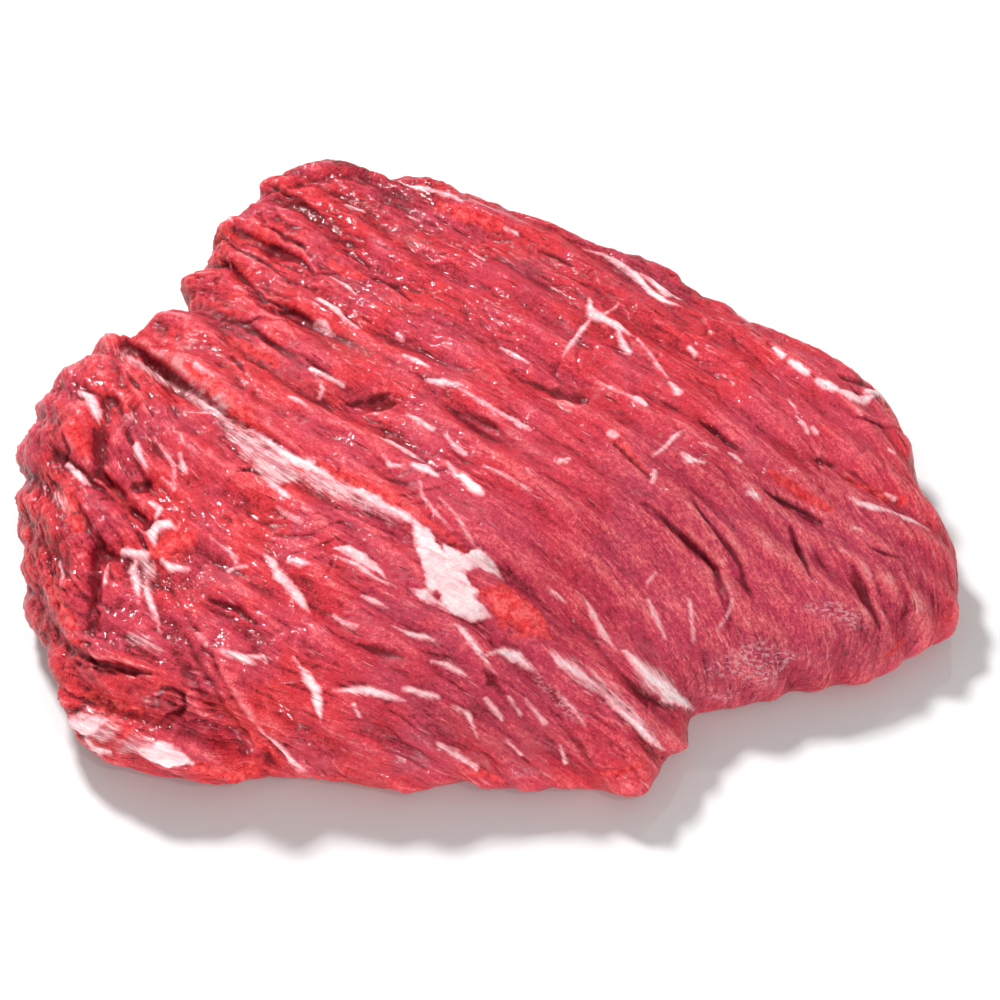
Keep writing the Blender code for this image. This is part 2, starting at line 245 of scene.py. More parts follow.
def smooth_slab(skin):
    """Places of the smooth slab under places on the flattened skin.

    Out from the middle the skin runs over the crown, then down round the shoulder to the rim and then
    under to the ground, each turn being a quarter of an oval.
    """
    bearing = np.arctan2(skin[..., 1], skin[..., 0])
    spread = np.hypot(skin[..., 0], skin[..., 1])
    radius, top_round, rim_height, low_round = edge_at(bearing)
    start, shoulder, turn_under = wall_lengths(bearing)
    over = np.clip((spread - start) / shoulder, 0, 1) * QUARTER_TURN
    under = np.clip((spread - start - shoulder) / turn_under, 0, 1) * QUARTER_TURN
    reach = np.minimum(spread, start) + top_round * np.sin(over) ** SHOULDER_POWER
    reach -= low_round * (1 - np.cos(under))
    x = reach * np.cos(bearing)
    y = reach * np.sin(bearing)
    crown = blended(CROWN, CROWN_REACH, x, y)
    drop = np.maximum(np.cos(over), 0) ** SHOULDER_POWER
    z = np.where(under > 0, rim_height * (1 - np.sin(under)), rim_height + (crown - rim_height) * drop)
    return np.stack([x, y, z], axis=-1)


def outward(skin, step=1.5):
    """Outward direction of the smooth slab: the cross product of its slopes over a small step."""
    east = smooth_slab(skin + (step, 0)) - smooth_slab(skin - (step, 0))
    north = smooth_slab(skin + (0, step)) - smooth_slab(skin - (0, step))
    normal = np.cross(east, north)
    return normal / np.maximum(np.linalg.norm(normal, axis=-1, keepdims=True), LEAST_WEIGHT)


def skin_sheet(quads):
    """Skin places on a square sheet bent to a disk, so that its edge lies on the ground all round."""
    side = np.linspace(-1, 1, quads + 1)
    p, q = np.meshgrid(side, side)
    east = p * np.sqrt(1 - q**2 / 2)
    north = q * np.sqrt(1 - p**2 / 2)
    ring = np.hypot(east, north)
    bearing = np.arctan2(north, east)
    spread = ring * sum(wall_lengths(bearing))
    skin = np.stack([spread * np.cos(bearing), spread * np.sin(bearing)], axis=-1)
    return skin.reshape(-1, 2), ring.ravel()


def along_path(skin, path):
    """Distance from each skin place to the path, the path's own value there, and the side it lies on."""
    nearest = np.full(len(skin), np.inf)
    value = np.zeros(len(skin))
    side = np.ones(len(skin))
    for (x0, y0, value0), (x1, y1, value1) in zip(path[:-1], path[1:]):
        run = np.array([x1 - x0, y1 - y0], float)
        rise = skin - (x0, y0)
        t = np.clip((rise @ run) / max(run @ run, LEAST_WEIGHT), 0, 1)
        away = np.hypot(rise[:, 0] - t * run[0], rise[:, 1] - t * run[1])
        closer = away < nearest
        nearest = np.where(closer, away, nearest)
        value = np.where(closer, value0 + t * (value1 - value0), value)
        side = np.where(closer, np.sign(run[0] * rise[:, 1] - run[1] * rise[:, 0]), side)
    return nearest, value, side


def path_relief(skin, half_width, path):
    """Bell-shaped relief along a path, as high as the path's value."""
    away, height, side = along_path(skin, path)
    return height * np.exp(-((away / half_width) ** 2))


def lump_relief(skin, x, y, height, long_reach, short_reach, degrees):
    """Oval bell-shaped lump on the skin."""
    turn = np.radians(degrees)
    east = skin[:, 0] - x
    north = skin[:, 1] - y
    along = (east * np.cos(turn) + north * np.sin(turn)) / long_reach
    across = (north * np.cos(turn) - east * np.sin(turn)) / short_reach
    return height * np.exp(-(along**2) - across**2)


def bundle_relief(skin):
    """Waves across the grain that sway along it, for the muscle bundles."""
    random = np.random.default_rng(BUNDLE_SEED)
    along = skin[:, 0] * np.cos(FIBRE_BEARING) + skin[:, 1] * np.sin(FIBRE_BEARING)
    across = skin[:, 1] * np.cos(FIBRE_BEARING) - skin[:, 0] * np.sin(FIBRE_BEARING)
    relief = np.zeros(len(skin))
    for spacing, length, height in BUNDLES:
        first, second = random.uniform(0, 2 * np.pi, 2)
        sway = BUNDLE_SWAY * np.sin(2 * np.pi * along / length + first)
        relief += height * np.sin(2 * np.pi * across / spacing + sway + second)
    return relief


def main_relief(skin):
    """Bundles, creases, ridges and lumps, outward in millimetres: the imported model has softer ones."""
    relief = bundle_relief(skin)
    for half_width, path in CREASES.values():
        relief -= path_relief(skin, half_width, path)
    for half_width, path in RIDGES.values():
        relief += path_relief(skin, half_width, path)
    for lump in LUMPS:
        relief += lump_relief(skin, *lump)
    return relief


def noise(x, y, seed):
    """Smooth random waves from -1 to 1: a random value at each whole place, eased between them."""
    lattice = np.random.default_rng(seed).uniform(-1, 1, (LATTICE_SIDE, LATTICE_SIDE))
    column = np.floor(x).astype(int)
    row = np.floor(y).astype(int)
    s = x - column
    t = y - row
    s = s**3 * (s * (s * 6 - 15) + 10)
    t = t**3 * (t * (t * 6 - 15) + 10)
    wrap = LATTICE_SIDE - 1
    left, right = column & wrap, (column + 1) & wrap
    low, high = row & wrap, (row + 1) & wrap
    here = lattice[low, left] * (1 - s) + lattice[low, right] * s
    above = lattice[high, left] * (1 - s) + lattice[high, right] * s
    return here * (1 - t) + above * t



def layered(x, y, seed, layers=3):
    """Sum of noise, each layer twice as fine and half as high as the one before."""
    total = np.zeros_like(x)
    for k in range(layers):
        total += noise(x * 2**k + LAYER_SHIFT[0] * k, y * 2**k + LAYER_SHIFT[1] * k, seed + k) / 2**k
    return total


def grain_net(named):
    """Tables of the places along and across the grain, over a square net on the skin.

    Each table is the height field whose slopes best match the blended bearing, by least squares.
    """
    side = np.linspace(-GRAIN_NET_REACH, GRAIN_NET_REACH, GRAIN_NET_SIDE)
    x, y = np.meshgrid(side, side)
    turn = np.radians(blended(named, GRAIN_REACH, x, y))
    index = np.arange(x.size).reshape(x.shape)
    start = np.concatenate([index[:, :-1].ravel(), index[:-1].ravel()])
    end = np.concatenate([index[:, 1:].ravel(), index[1:].ravel()])
    matrix = np.zeros((x.size, x.size))
    for a, b, sign in ((start, start, 1), (end, end, 1), (start, end, -1), (end, start, -1)):
        np.add.at(matrix, (a, b), sign)
    matrix += LEAST_WEIGHT * np.eye(x.size)
    tables = []
    step = side[1] - side[0]
    for slope_x, slope_y in ((np.cos(turn), np.sin(turn)), (-np.sin(turn), np.cos(turn))):
        rise = np.concatenate([(slope_x[:, :-1] + slope_x[:, 1:]).ravel(),
                               (slope_y[:-1] + slope_y[1:]).ravel()])
        load = np.zeros(x.size)
        np.add.at(load, end, rise * step / 2)
        np.add.at(load, start, -rise * step / 2)
        tables.append(np.linalg.solve(matrix, load).reshape(x.shape))
    return tables


def read_net(table, skin):
    """Value of a net's table at skin places, in a straight blend between the net's knots."""
    step = 2 * GRAIN_NET_REACH / (GRAIN_NET_SIDE - 1)
    x = np.clip((skin[:, 0] + GRAIN_NET_REACH) / step, 0, GRAIN_NET_SIDE - LAST_CELL)
    y = np.clip((skin[:, 1] + GRAIN_NET_REACH) / step, 0, GRAIN_NET_SIDE - LAST_CELL)
    i = x.astype(int)
    j = y.astype(int)
    s = x - i
    t = y - j
    low = table[j, i] * (1 - s) + table[j, i + 1] * s
    high = table[j + 1, i] * (1 - s) + table[j + 1, i + 1] * s
    return low * (1 - t) + high * t


def photo_pixels(places):
    """Pixels of the photo in which places in the maker's frame show, through a camera with one eye point."""
    away = places - VIEW_PLACE
    depth = away @ VIEW_FORWARD
    focal = VIEW_DISTANCE / MM_PER_PIXEL
    across = PHOTO_MIDDLE + focal * away[:, 0] / depth
    down = PHOTO_MIDDLE - focal * (away @ VIEW_UP) / depth
    return np.stack([across, down], axis=-1)


# Marks below are picked on the photo: each stroke runs through places of (across, down, width), in its
# pixels. They are laid on the skin along the camera's lines of sight.

# Fat of the seam between the muscles, with the knot where it ends
SEAM_FAT = [
    [(186, 386, 3), (203, 398, 5), (216, 409, 5), (230, 420, 3)],
    [(247, 427, 4), (268, 438, 6), (284, 449, 8), (299, 459, 12), (312, 463, 14), (323, 470, 9),
     (338, 481, 6)], [(338, 480, 7), (360, 490, 7), (384, 502, 8), (404, 511, 8), (416, 518, 10)],
    [(412, 517, 8), (424, 535, 19), (434, 552, 24), (444, 572, 34), (458, 592, 34), (474, 606, 24),
     (488, 614, 12)], [(446, 545, 20), (464, 560, 22), (480, 559, 18), (491, 567, 10), (503, 578, 3)],
    [(410, 584, 4), (424, 591, 9), (441, 603, 7), (450, 610, 3)],
    [(268, 480, 5), (282, 489, 7), (288, 494, 4)],
]

# Thin silvery film that spreads from the seam
FILM = [
    [(218, 411, 6), (230, 422, 12), (246, 442, 24), (264, 460, 34), (282, 470, 34), (300, 476, 22)],
    [(188, 388, 13), (206, 402, 15), (222, 414, 14)],
    [(296, 470, 22), (320, 480, 18), (348, 492, 16), (376, 506, 12), (408, 520, 10)],
    [(118, 346, 12), (136, 360, 15), (152, 370, 15), (170, 380, 14), (188, 392, 12)],
    [(140, 556, 14), (146, 568, 16), (144, 584, 10)],
    [(68, 714, 10), (84, 722, 20), (102, 728, 18), (120, 724, 10)],
    [(120, 748, 10), (134, 742, 14), (150, 738, 10)], [(54, 492, 6), (62, 500, 10), (70, 510, 6)],
    [(44, 584, 5), (50, 598, 8), (52, 612, 5)], [(134, 636, 8), (150, 640, 10), (160, 646, 6)],
    [(556, 652, 8), (574, 668, 12), (600, 685, 12), (634, 715, 10), (660, 742, 8)],
    [(630, 650, 14), (648, 674, 20), (672, 694, 20), (694, 708, 12)],
]

# Fat and fine white streaks of the back muscle
BACK_FAT = [
    [(637, 396, 7), (646, 402, 8)], [(670, 381, 5), (678, 391, 7)], [(690, 348, 5), (696, 352, 5)],
    [(732, 452, 6), (741, 459, 5)], [(560, 459, 7), (569, 456, 5)], [(516, 421, 6), (527, 425, 7)],
    [(408, 412, 4), (420, 418, 6), (433, 427, 5)], [(446, 434, 4), (458, 446, 5), (466, 452, 3)],
    [(320, 298, 6), (336, 308, 9), (357, 327, 5)], [(315, 320, 3), (324, 325, 6), (333, 333, 4)],
    [(346, 204, 4), (361, 210, 4)], [(398, 332, 6), (402, 337, 6)],
    [(330, 275, 3), (345, 284, 4), (356, 291, 3)], [(404, 352, 4), (416, 358, 7), (429, 365, 4)],
    [(428, 379, 5), (444, 380, 7), (458, 382, 4)],
    [(456, 383, 3), (478, 398, 3), (502, 412, 4), (516, 419, 6), (530, 427, 6)],
    [(502, 345, 3), (516, 353, 6), (528, 362, 3)], [(312, 368, 5), (326, 374, 8), (344, 383, 3)],
    [(319, 379, 3), (324, 388, 4), (320, 396, 2)], [(288, 395, 4), (298, 398, 6), (307, 403, 3)],
    [(193, 363, 6), (202, 369, 6), (212, 374, 3)],
    [(373, 433, 3), (390, 440, 5), (406, 449, 6), (424, 459, 4)],
    [(384, 452, 2), (392, 463, 4), (404, 462, 3)], [(413, 462, 6), (424, 467, 12), (436, 472, 5)],
    [(446, 460, 3), (453, 466, 4), (458, 474, 3)], [(462, 474, 8), (471, 482, 12), (480, 491, 8)],
    [(418, 474, 2), (423, 495, 3), (438, 515, 3), (452, 527, 2)],
    [(440, 493, 2), (458, 515, 3), (466, 530, 4), (478, 548, 2)],
    [(484, 462, 2), (502, 470, 3), (530, 488, 2)],
    [(589, 296, 5), (591, 306, 8), (594, 314, 9), (606, 318, 6), (618, 324, 7), (628, 332, 8)],
    [(590, 317, 6), (580, 331, 6), (571, 342, 5), (563, 354, 4)],
    [(618, 330, 5), (622, 340, 6), (627, 350, 8)], [(604, 316, 3), (612, 308, 2), (618, 303, 2)],
    [(637, 337, 3), (650, 352, 3), (668, 376, 2)], [(636, 396, 6), (641, 401, 8)],
    [(596, 381, 2), (618, 390, 3), (632, 396, 3)], [(609, 430, 6), (615, 434, 5)],
    [(653, 455, 4), (664, 446, 5), (674, 436, 4), (684, 428, 3)],
    [(682, 450, 5), (690, 456, 9), (704, 460, 5)], [(700, 440, 3), (716, 446, 3)],
    [(731, 451, 5), (737, 455, 4)], [(560, 456, 4), (567, 460, 3)], [(655, 468, 5), (652, 478, 5)],
    [(749, 489, 6), (754, 492, 8), (760, 497, 4)], [(788, 398, 3), (797, 411, 3)],
    [(813, 427, 5), (818, 431, 4)], [(888, 449, 5), (893, 452, 4)], [(908, 433, 3), (922, 442, 2)],
    [(584, 248, 5), (601, 254, 6), (620, 264, 6), (636, 275, 7), (650, 290, 9), (664, 300, 7),
     (682, 306, 4)], [(640, 272, 4), (652, 280, 6), (668, 292, 8), (684, 300, 5)],
    [(740, 312, 6), (748, 318, 5)], [(776, 349, 6), (782, 356, 6)],
    [(792, 360, 6), (800, 366, 8), (808, 372, 6)], [(818, 380, 5), (826, 384, 8), (834, 388, 7)],
    [(836, 388, 4), (850, 396, 12), (862, 400, 13), (874, 395, 7)],
    [(866, 390, 8), (884, 391, 9), (898, 392, 5)], [(797, 415, 2), (804, 424, 5), (808, 431, 3)],
    [(848, 493, 4), (858, 500, 7), (872, 507, 8), (884, 509, 6), (900, 514, 8), (916, 522, 7),
     (931, 530, 4)], [(884, 493, 3), (894, 498, 4)], [(855, 526, 5), (862, 529, 4)],
    [(745, 484, 3), (760, 494, 3)], [(582, 592, 3), (592, 608, 5), (606, 634, 6), (616, 648, 5)],
    [(547, 586, 2), (556, 592, 4), (565, 600, 3)], [(649, 598, 3), (656, 616, 5), (666, 637, 3)],
    [(689, 598, 3), (692, 618, 4), (694, 638, 3)], [(733, 596, 2), (730, 612, 3), (718, 628, 3)],
    [(656, 572, 3), (648, 580, 3)],
    [(622, 648, 7), (636, 660, 10), (650, 676, 13), (668, 690, 14), (690, 706, 9)],
    [(526, 467, 2), (532, 472, 2)], [(505, 226, 2), (518, 232, 3)], [(470, 250, 2), (484, 258, 3)],
    [(430, 190, 3), (446, 194, 4), (462, 200, 3)], [(392, 180, 4), (410, 186, 6), (428, 188, 4)],
]

# Fat and streaks of the front lobe and of its foot
LOBE_FAT = [
    [(78, 388, 6), (88, 394, 9), (94, 404, 10), (97, 420, 7)], [(68, 462, 5), (78, 470, 7), (86, 479, 5)],
    [(178, 525, 6), (168, 521, 9), (158, 522, 10), (151, 531, 9), (154, 544, 7)],
    [(134, 443, 7), (139, 452, 6), (145, 464, 3)],
    [(153, 434, 2), (164, 450, 3), (174, 463, 4), (174, 486, 4)], [(161, 476, 3), (174, 487, 3)],
    [(179, 452, 4), (182, 462, 5), (185, 471, 3)], [(180, 430, 2), (184, 438, 3)],
    [(176, 412, 3), (186, 410, 3), (204, 411, 4), (216, 412, 2)],
    [(152, 500, 5), (160, 507, 6), (158, 514, 4)], [(125, 547, 6), (135, 551, 7), (146, 550, 6)],
    [(135, 556, 6), (134, 568, 7), (138, 582, 6), (138, 600, 3)],
    [(146, 578, 3), (148, 592, 5), (156, 614, 5), (160, 630, 3)],
    [(163, 556, 4), (170, 565, 7), (188, 565, 5)],
    [(209, 535, 2), (230, 547, 4), (236, 557, 4), (234, 566, 3)],
    [(227, 569, 6), (236, 566, 4), (248, 562, 2)],
    [(262, 550, 3), (270, 560, 8), (280, 573, 11), (292, 586, 11), (304, 602, 7), (310, 610, 3)],
    [(290, 557, 4), (300, 560, 7), (307, 559, 3)], [(277, 502, 2), (288, 512, 4), (301, 521, 3)],
    [(334, 544, 6), (346, 547, 10), (362, 556, 12), (376, 566, 7), (386, 575, 3)],
    [(334, 552, 3), (356, 562, 5), (374, 574, 4), (396, 584, 3)],
    [(361, 592, 3), (374, 597, 5), (387, 605, 3)], [(334, 612, 3), (346, 620, 4), (358, 623, 3)],
    [(390, 622, 3), (410, 632, 6), (424, 635, 6), (441, 640, 3)],
    [(454, 621, 9), (462, 628, 8), (472, 640, 6), (484, 656, 5), (494, 668, 3)],
    [(498, 647, 5), (486, 652, 3)], [(494, 646, 6), (506, 650, 10), (518, 655, 9), (540, 671, 3)],
    [(433, 657, 4), (448, 662, 7), (464, 673, 4)],
    [(334, 687, 6), (352, 688, 7), (373, 688, 8), (390, 692, 7), (406, 698, 3)],
    [(404, 685, 5), (420, 688, 6), (438, 694, 5)],
    [(452, 701, 7), (460, 706, 6), (467, 712, 8), (478, 734, 4)],
    [(486, 697, 4), (494, 707, 6), (502, 716, 4)], [(509, 695, 3), (520, 711, 4)],
    [(526, 696, 3), (544, 720, 5)], [(355, 702, 4), (359, 712, 4)],
    [(438, 742, 4), (456, 752, 6), (476, 765, 5)],
    [(218, 645, 5), (232, 650, 8), (246, 654, 8), (256, 660, 6)],
    [(246, 652, 4), (264, 652, 5), (268, 658, 3)],
    [(300, 662, 6), (308, 672, 9), (315, 686, 10), (320, 704, 7), (321, 718, 4)],
    [(292, 652, 2), (300, 664, 3)], [(549, 648, 5), (560, 658, 7), (575, 668, 8), (596, 682, 8)],
    [(596, 682, 6), (616, 702, 5), (636, 722, 7), (650, 736, 8), (664, 748, 5)],
    [(556, 690, 2), (572, 706, 4), (584, 722, 3)], [(560, 742, 3), (566, 760, 4)],
    [(508, 738, 3), (520, 752, 4)], [(260, 724, 6), (276, 742, 7), (292, 758, 7), (306, 766, 4)],
    [(196, 628, 2), (206, 640, 3)], [(68, 716, 9), (80, 726, 13), (94, 722, 13), (108, 716, 8)],
    [(86, 738, 6), (98, 746, 7), (112, 750, 5)],
    [(136, 744, 7), (150, 749, 15), (168, 752, 19), (184, 756, 13), (193, 760, 6)],
    [(156, 690, 3), (162, 688, 3)], [(60, 560, 3), (64, 576, 3)], [(108, 560, 2), (104, 580, 3)],
]

# Wet bright red meat
WET_RED = [
    [(64, 412, 8), (72, 426, 16), (80, 444, 14), (88, 456, 8)],
    [(62, 486, 10), (70, 504, 20), (78, 526, 16)], [(50, 578, 8), (60, 600, 18), (72, 624, 14)],
    [(224, 700, 8), (244, 726, 14), (262, 744, 10)],
    [(186, 362, 12), (204, 378, 18), (226, 396, 16), (246, 414, 14), (262, 426, 12)],
    [(300, 455, 8), (320, 462, 10), (344, 474, 13), (370, 486, 13), (396, 498, 12), (420, 510, 8)],
    [(424, 516, 5), (446, 532, 6), (466, 549, 5)],
    [(478, 586, 20), (496, 594, 34), (514, 605, 38), (533, 619, 32), (550, 636, 18)],
    [(160, 545, 18), (176, 540, 24), (188, 536, 16)], [(112, 486, 10), (120, 496, 12), (128, 505, 10)],
    [(608, 424, 6), (618, 440, 10), (634, 456, 10), (648, 470, 9)],
    [(882, 402, 12), (896, 412, 14), (908, 420, 10)], [(770, 470, 8), (800, 490, 10), (830, 508, 8)],
    [(850, 480, 10), (880, 496, 12), (904, 500, 8)],
    [(86, 690, 14), (110, 700, 18), (140, 706, 16), (124, 738, 14)],
    [(200, 766, 14), (228, 774, 16), (254, 768, 10)], [(262, 740, 10), (278, 756, 10)],
    [(300, 775, 8), (340, 776, 8)], [(330, 262, 8), (346, 270, 10), (362, 276, 8)],
    [(440, 206, 12), (470, 216, 14), (500, 222, 10)], [(228, 336, 10), (252, 348, 12), (276, 360, 8)],
    [(216, 236, 8), (240, 238, 10), (268, 242, 8)], [(58, 600, 10), (66, 622, 12), (78, 640, 10)],
    [(640, 764, 8), (620, 770, 10), (600, 772, 8)], [(474, 770, 8), (500, 778, 8)],
    [(902, 640, 10), (888, 652, 8)],
]

# Dry, finely wrinkled skin that catches the light: its pale sheen lines are a painted highlight, over real
# ripples in the coat
SHEEN = [
    [(700, 672, 10), (722, 664, 22), (748, 660, 34), (776, 662, 36), (800, 654, 16)],
    [(806, 604, 12), (830, 608, 20), (852, 618, 18), (866, 628, 8)],
    [(708, 696, 8), (722, 694, 10), (736, 692, 6)], [(540, 678, 8), (560, 700, 12), (578, 716, 10)],
]

# Dark strokes, also sunk into the skin: over hollows and the bottoms of creases their colour is painted deep
# shade, partly the darker meat of old cuts
DARK = [
    [(142, 347, 4), (150, 355, 8), (162, 364, 10), (174, 373, 9), (185, 380, 4)],
    [(186, 380, 3), (206, 394, 4), (226, 411, 4), (246, 425, 4)],
    [(90, 464, 9), (110, 484, 8), (131, 503, 9), (146, 518, 6)],
    [(127, 424, 3), (130, 436, 6), (134, 446, 3)], [(112, 391, 4), (121, 406, 6), (124, 416, 3)],
    [(126, 370, 3), (133, 378, 5), (140, 387, 4)], [(96, 425, 4), (100, 446, 5), (102, 466, 4)],
    [(345, 400, 6), (364, 401, 16), (384, 398, 18), (398, 402, 6)],
    [(530, 380, 8), (556, 390, 14), (580, 398, 14), (594, 405, 5)],
    [(456, 408, 4), (476, 417, 7), (494, 424, 6), (504, 432, 3)],
    [(478, 282, 5), (488, 288, 7), (498, 296, 4)],
    [(810, 454, 4), (820, 459, 9), (832, 463, 6), (838, 465, 3)],
    [(699, 418, 3), (718, 430, 5), (738, 446, 3)], [(612, 440, 3), (630, 456, 5), (650, 474, 4)],
    [(763, 488, 3), (778, 496, 5), (790, 503, 6), (806, 511, 5), (822, 519, 3)],
    [(644, 500, 2), (666, 518, 3), (688, 536, 4), (704, 551, 4), (717, 566, 4), (726, 590, 3),
     (729, 618, 2)],
    [(693, 500, 2), (708, 517, 3), (722, 536, 4), (734, 551, 4), (741, 564, 4), (751, 590, 2)],
    [(790, 524, 3), (800, 545, 4), (807, 562, 4), (814, 578, 2)],
    [(850, 562, 3), (865, 584, 5), (868, 600, 5), (882, 628, 3)],
    [(872, 544, 3), (886, 551, 4), (898, 557, 3)], [(908, 590, 3), (913, 610, 3)],
    [(874, 575, 3), (884, 594, 3)],
    [(157, 694, 5), (162, 686, 5), (172, 684, 5), (182, 690, 5), (185, 702, 5), (178, 712, 5),
     (166, 714, 4)], [(166, 696, 6), (174, 702, 8)],
    [(186, 628, 4), (196, 650, 8), (214, 684, 10), (238, 722, 8), (252, 744, 4)],
    [(140, 470, 4), (148, 479, 7), (150, 487, 4)],
    [(108, 700, 5), (130, 712, 7), (160, 724, 7), (196, 736, 7), (230, 744, 5)],
    [(232, 262, 3), (246, 280, 4), (264, 298, 5), (284, 306, 4), (312, 318, 3)],
    [(213, 241, 3), (240, 248, 5), (268, 262, 5), (290, 280, 3)],
    [(258, 187, 3), (280, 190, 4), (300, 198, 5), (318, 214, 3)],
    [(262, 226, 3), (282, 232, 5), (300, 244, 5), (312, 258, 3)],
    [(300, 352, 3), (322, 366, 4), (340, 384, 5)],
    [(230, 318, 2), (254, 330, 4), (280, 346, 4), (300, 356, 2)],
    [(232, 352, 4), (240, 360, 6), (246, 372, 3)], [(376, 276, 4), (396, 286, 6), (412, 300, 3)],
    [(40, 500, 5), (44, 540, 7), (52, 580, 6), (60, 610, 4)],
    [(94, 550, 5), (97, 575, 7), (94, 600, 6), (86, 620, 4)],
    [(70, 640, 8), (96, 660, 12), (126, 668, 12), (150, 672, 8)],
    [(236, 468, 3), (250, 466, 5), (262, 472, 4)], [(486, 667, 8), (494, 680, 12), (502, 692, 8)],
    [(340, 598, 8), (350, 608, 8)], [(430, 650, 4), (450, 655, 5)],
    [(360, 640, 8), (384, 646, 10), (404, 652, 6)], [(560, 720, 6), (580, 744, 8), (592, 764, 5)],
    [(212, 596, 5), (236, 606, 6), (258, 620, 5)], [(60, 430, 5), (66, 446, 6), (64, 458, 4)],
    [(540, 250, 3), (556, 256, 4), (576, 266, 3)], [(840, 376, 8), (858, 380, 12), (876, 384, 8)],
]

# Lips of overlapping layers, picked on the photo as (across, down, height in millimetres). The layer to
# the left of the way along is the upper one, or the lower one where the height is negative.
LIPS = [
    [(234, 226, 0.6), (253, 236, 1.6), (278, 244, 2.2), (301, 258, 2.0), (315, 272, 2.0), (329, 273, 0.5)],
    [(241, 281, 0.6), (262, 297, 1.6), (276, 306, 2.0), (296, 308, 1.6), (319, 324, 1.5),
     (338, 334, 1.0), (370, 347, 0.3)],
    [(255, 324, 0.4), (267, 336, 1.3), (278, 345, 1.5), (292, 354, 1.3), (310, 366, 0.4)],
    [(262, 190, 0.6), (282, 196, 1.4), (304, 204, 1.4), (322, 216, 0.4)],
    [(377, 203, 0.4), (388, 214, 1.2), (402, 221, 0.4)],
    [(352, 242, 0.4), (358, 253, 1.0), (370, 267, 1.0), (381, 279, 0.8), (393, 292, 0.3)],
    [(448, 285, 0.3), (464, 299, 1.0), (482, 318, 1.2), (498, 334, 1.0), (533, 345, 0.3)],
    [(347, 409, -0.4), (365, 413, -1.6), (384, 409, -1.8), (393, 403, -1.2), (397, 398, -0.3)],
    [(432, 384, 0.3), (443, 398, 1.0), (459, 412, 1.3), (475, 425, 1.3), (496, 437, 1.0), (521, 439, 0.3)],
    [(319, 414, 0.3), (338, 425, 1.0), (361, 430, 0.3)],
    [(244, 380, 0.3), (255, 389, 1.0), (269, 398, 0.3)],
    [(63, 463, 0.5), (81, 470, 2.2), (99, 483, 2.6), (117, 496, 2.6), (132, 504, 2.2), (145, 514, 1.6),
     (150, 524, 0.5)], [(130, 435, 0.3), (135, 453, 1.3), (142, 465, 1.3), (153, 488, 0.3)],
    [(114, 389, 0.3), (118, 400, 1.2), (124, 416, 0.3)],
    [(96, 428, 0.4), (96, 442, 1.6), (99, 463, 1.6), (109, 476, 1.6), (117, 486, 0.4)],
    [(94, 552, 0.3), (96, 575, 1.4), (94, 595, 1.4), (89, 613, 0.3)],
    [(170, 580, 0.3), (183, 603, 1.0), (196, 624, 1.0), (204, 639, 0.3)],
    [(186, 628, 0.4), (211, 649, 1.3), (224, 677, 1.6), (237, 697, 1.6), (250, 715, 0.5)],
    [(552, 393, -0.3), (567, 398, -1.3), (576, 403, -1.6), (588, 402, -1.3), (591, 393, -0.3)],
    [(761, 489, 0.3), (779, 499, 1.3), (795, 510, 1.6), (810, 517, 1.2), (820, 520, 0.3)],
    [(833, 388, 0.4), (845, 403, 1.6), (857, 413, 2.0), (879, 422, 1.6), (899, 428, 0.5)],
    [(676, 299, -0.3), (695, 308, -1.0), (714, 318, -1.2), (741, 323, -1.0), (751, 320, -0.3)],
    [(644, 501, 0.2), (662, 515, 0.8), (682, 533, 1.0), (703, 550, 1.2), (718, 566, 1.2),
     (727, 599, 0.8), (728, 617, 0.2)],
    [(790, 525, 0.2), (800, 548, 0.8), (807, 566, 0.8), (815, 590, 0.2)],
    [(848, 563, 0.2), (858, 576, 1.0), (866, 604, 1.2), (879, 630, 0.3)],
    [(545, 647, 0.3), (565, 657, 1.0), (600, 680, 1.2), (637, 715, 1.2), (664, 745, 0.3)],
    [(598, 642, 0.3), (616, 662, 1.0), (636, 683, 1.6), (659, 698, 1.6), (690, 703, 0.5)],
    [(126, 338, 2.0), (150, 353, 4.5), (174, 371, 4.5), (206, 393, 3.4), (234, 410, 2.2),
     (262, 426, 1.4), (300, 452, 1.4), (345, 474, 1.4), (400, 500, 1.0), (424, 520, 0.3)],
    [(300, 500, 0.2), (340, 520, 0.7), (386, 534, 0.7), (410, 550, 0.2)],
    [(453, 619, -0.3), (465, 634, -0.8), (478, 650, -0.8), (494, 665, -0.3)],
    [(360, 640, 0.3), (400, 648, 0.9), (440, 664, 0.9), (470, 690, 0.3)],
    [(60, 640, 0.3), (90, 655, 1.2), (130, 664, 1.4), (170, 672, 0.4)],
    [(110, 520, 0.3), (122, 534, 1.0), (128, 548, 0.3)],
    [(200, 560, 0.3), (232, 578, 0.8), (262, 600, 0.3)],
]
# How far a lip's layer takes to fall level behind it, and the hollow at its foot to rise, with their
# shares of the lip's height
LIP_REACH = 6.0
FOOT_REACH = 2.4
LIP_RISE = 0.6
FOOT_DROP = 0.8
LIP_MARGIN = 4 * LIP_REACH
# Half width of the slope between them
LIP_SLOPE = 0.9

# Broad tints of the meat: x, y on the skin, reach, how pale, how purple
TINTS = np.array([
    (-30, 60, 60, -0.5, 0.0), (-20, -20, 45, 0.0, 0.15), (70, -10, 45, -0.1, 0.1), (60, -85, 40, 0.6, 0.5),
    (110, -95, 35, 0.3, 0.7), (135, -60, 30, 0.6, 0.3), (-60, -80, 35, 0.15, 0.1),
    (-20, -120, 30, -0.05, 0.35), (-90, -110, 30, -0.2, 0.0), (-155, -60, 35, -1.0, -0.5),
    (-140, -110, 35, -0.7, -0.3), (20, -140, 30, -0.2, 0.25), (-30, -150, 25, -0.3, 0.1),
    (-40, 95, 30, -1.1, -0.2), (60, 50, 30, -0.9, 0.2), (-110, 50, 30, -0.4, -0.2),
    (-100, -50, 25, 0.15, -0.1), (-60, -150, 25, 0.1, 0.0),
], float)

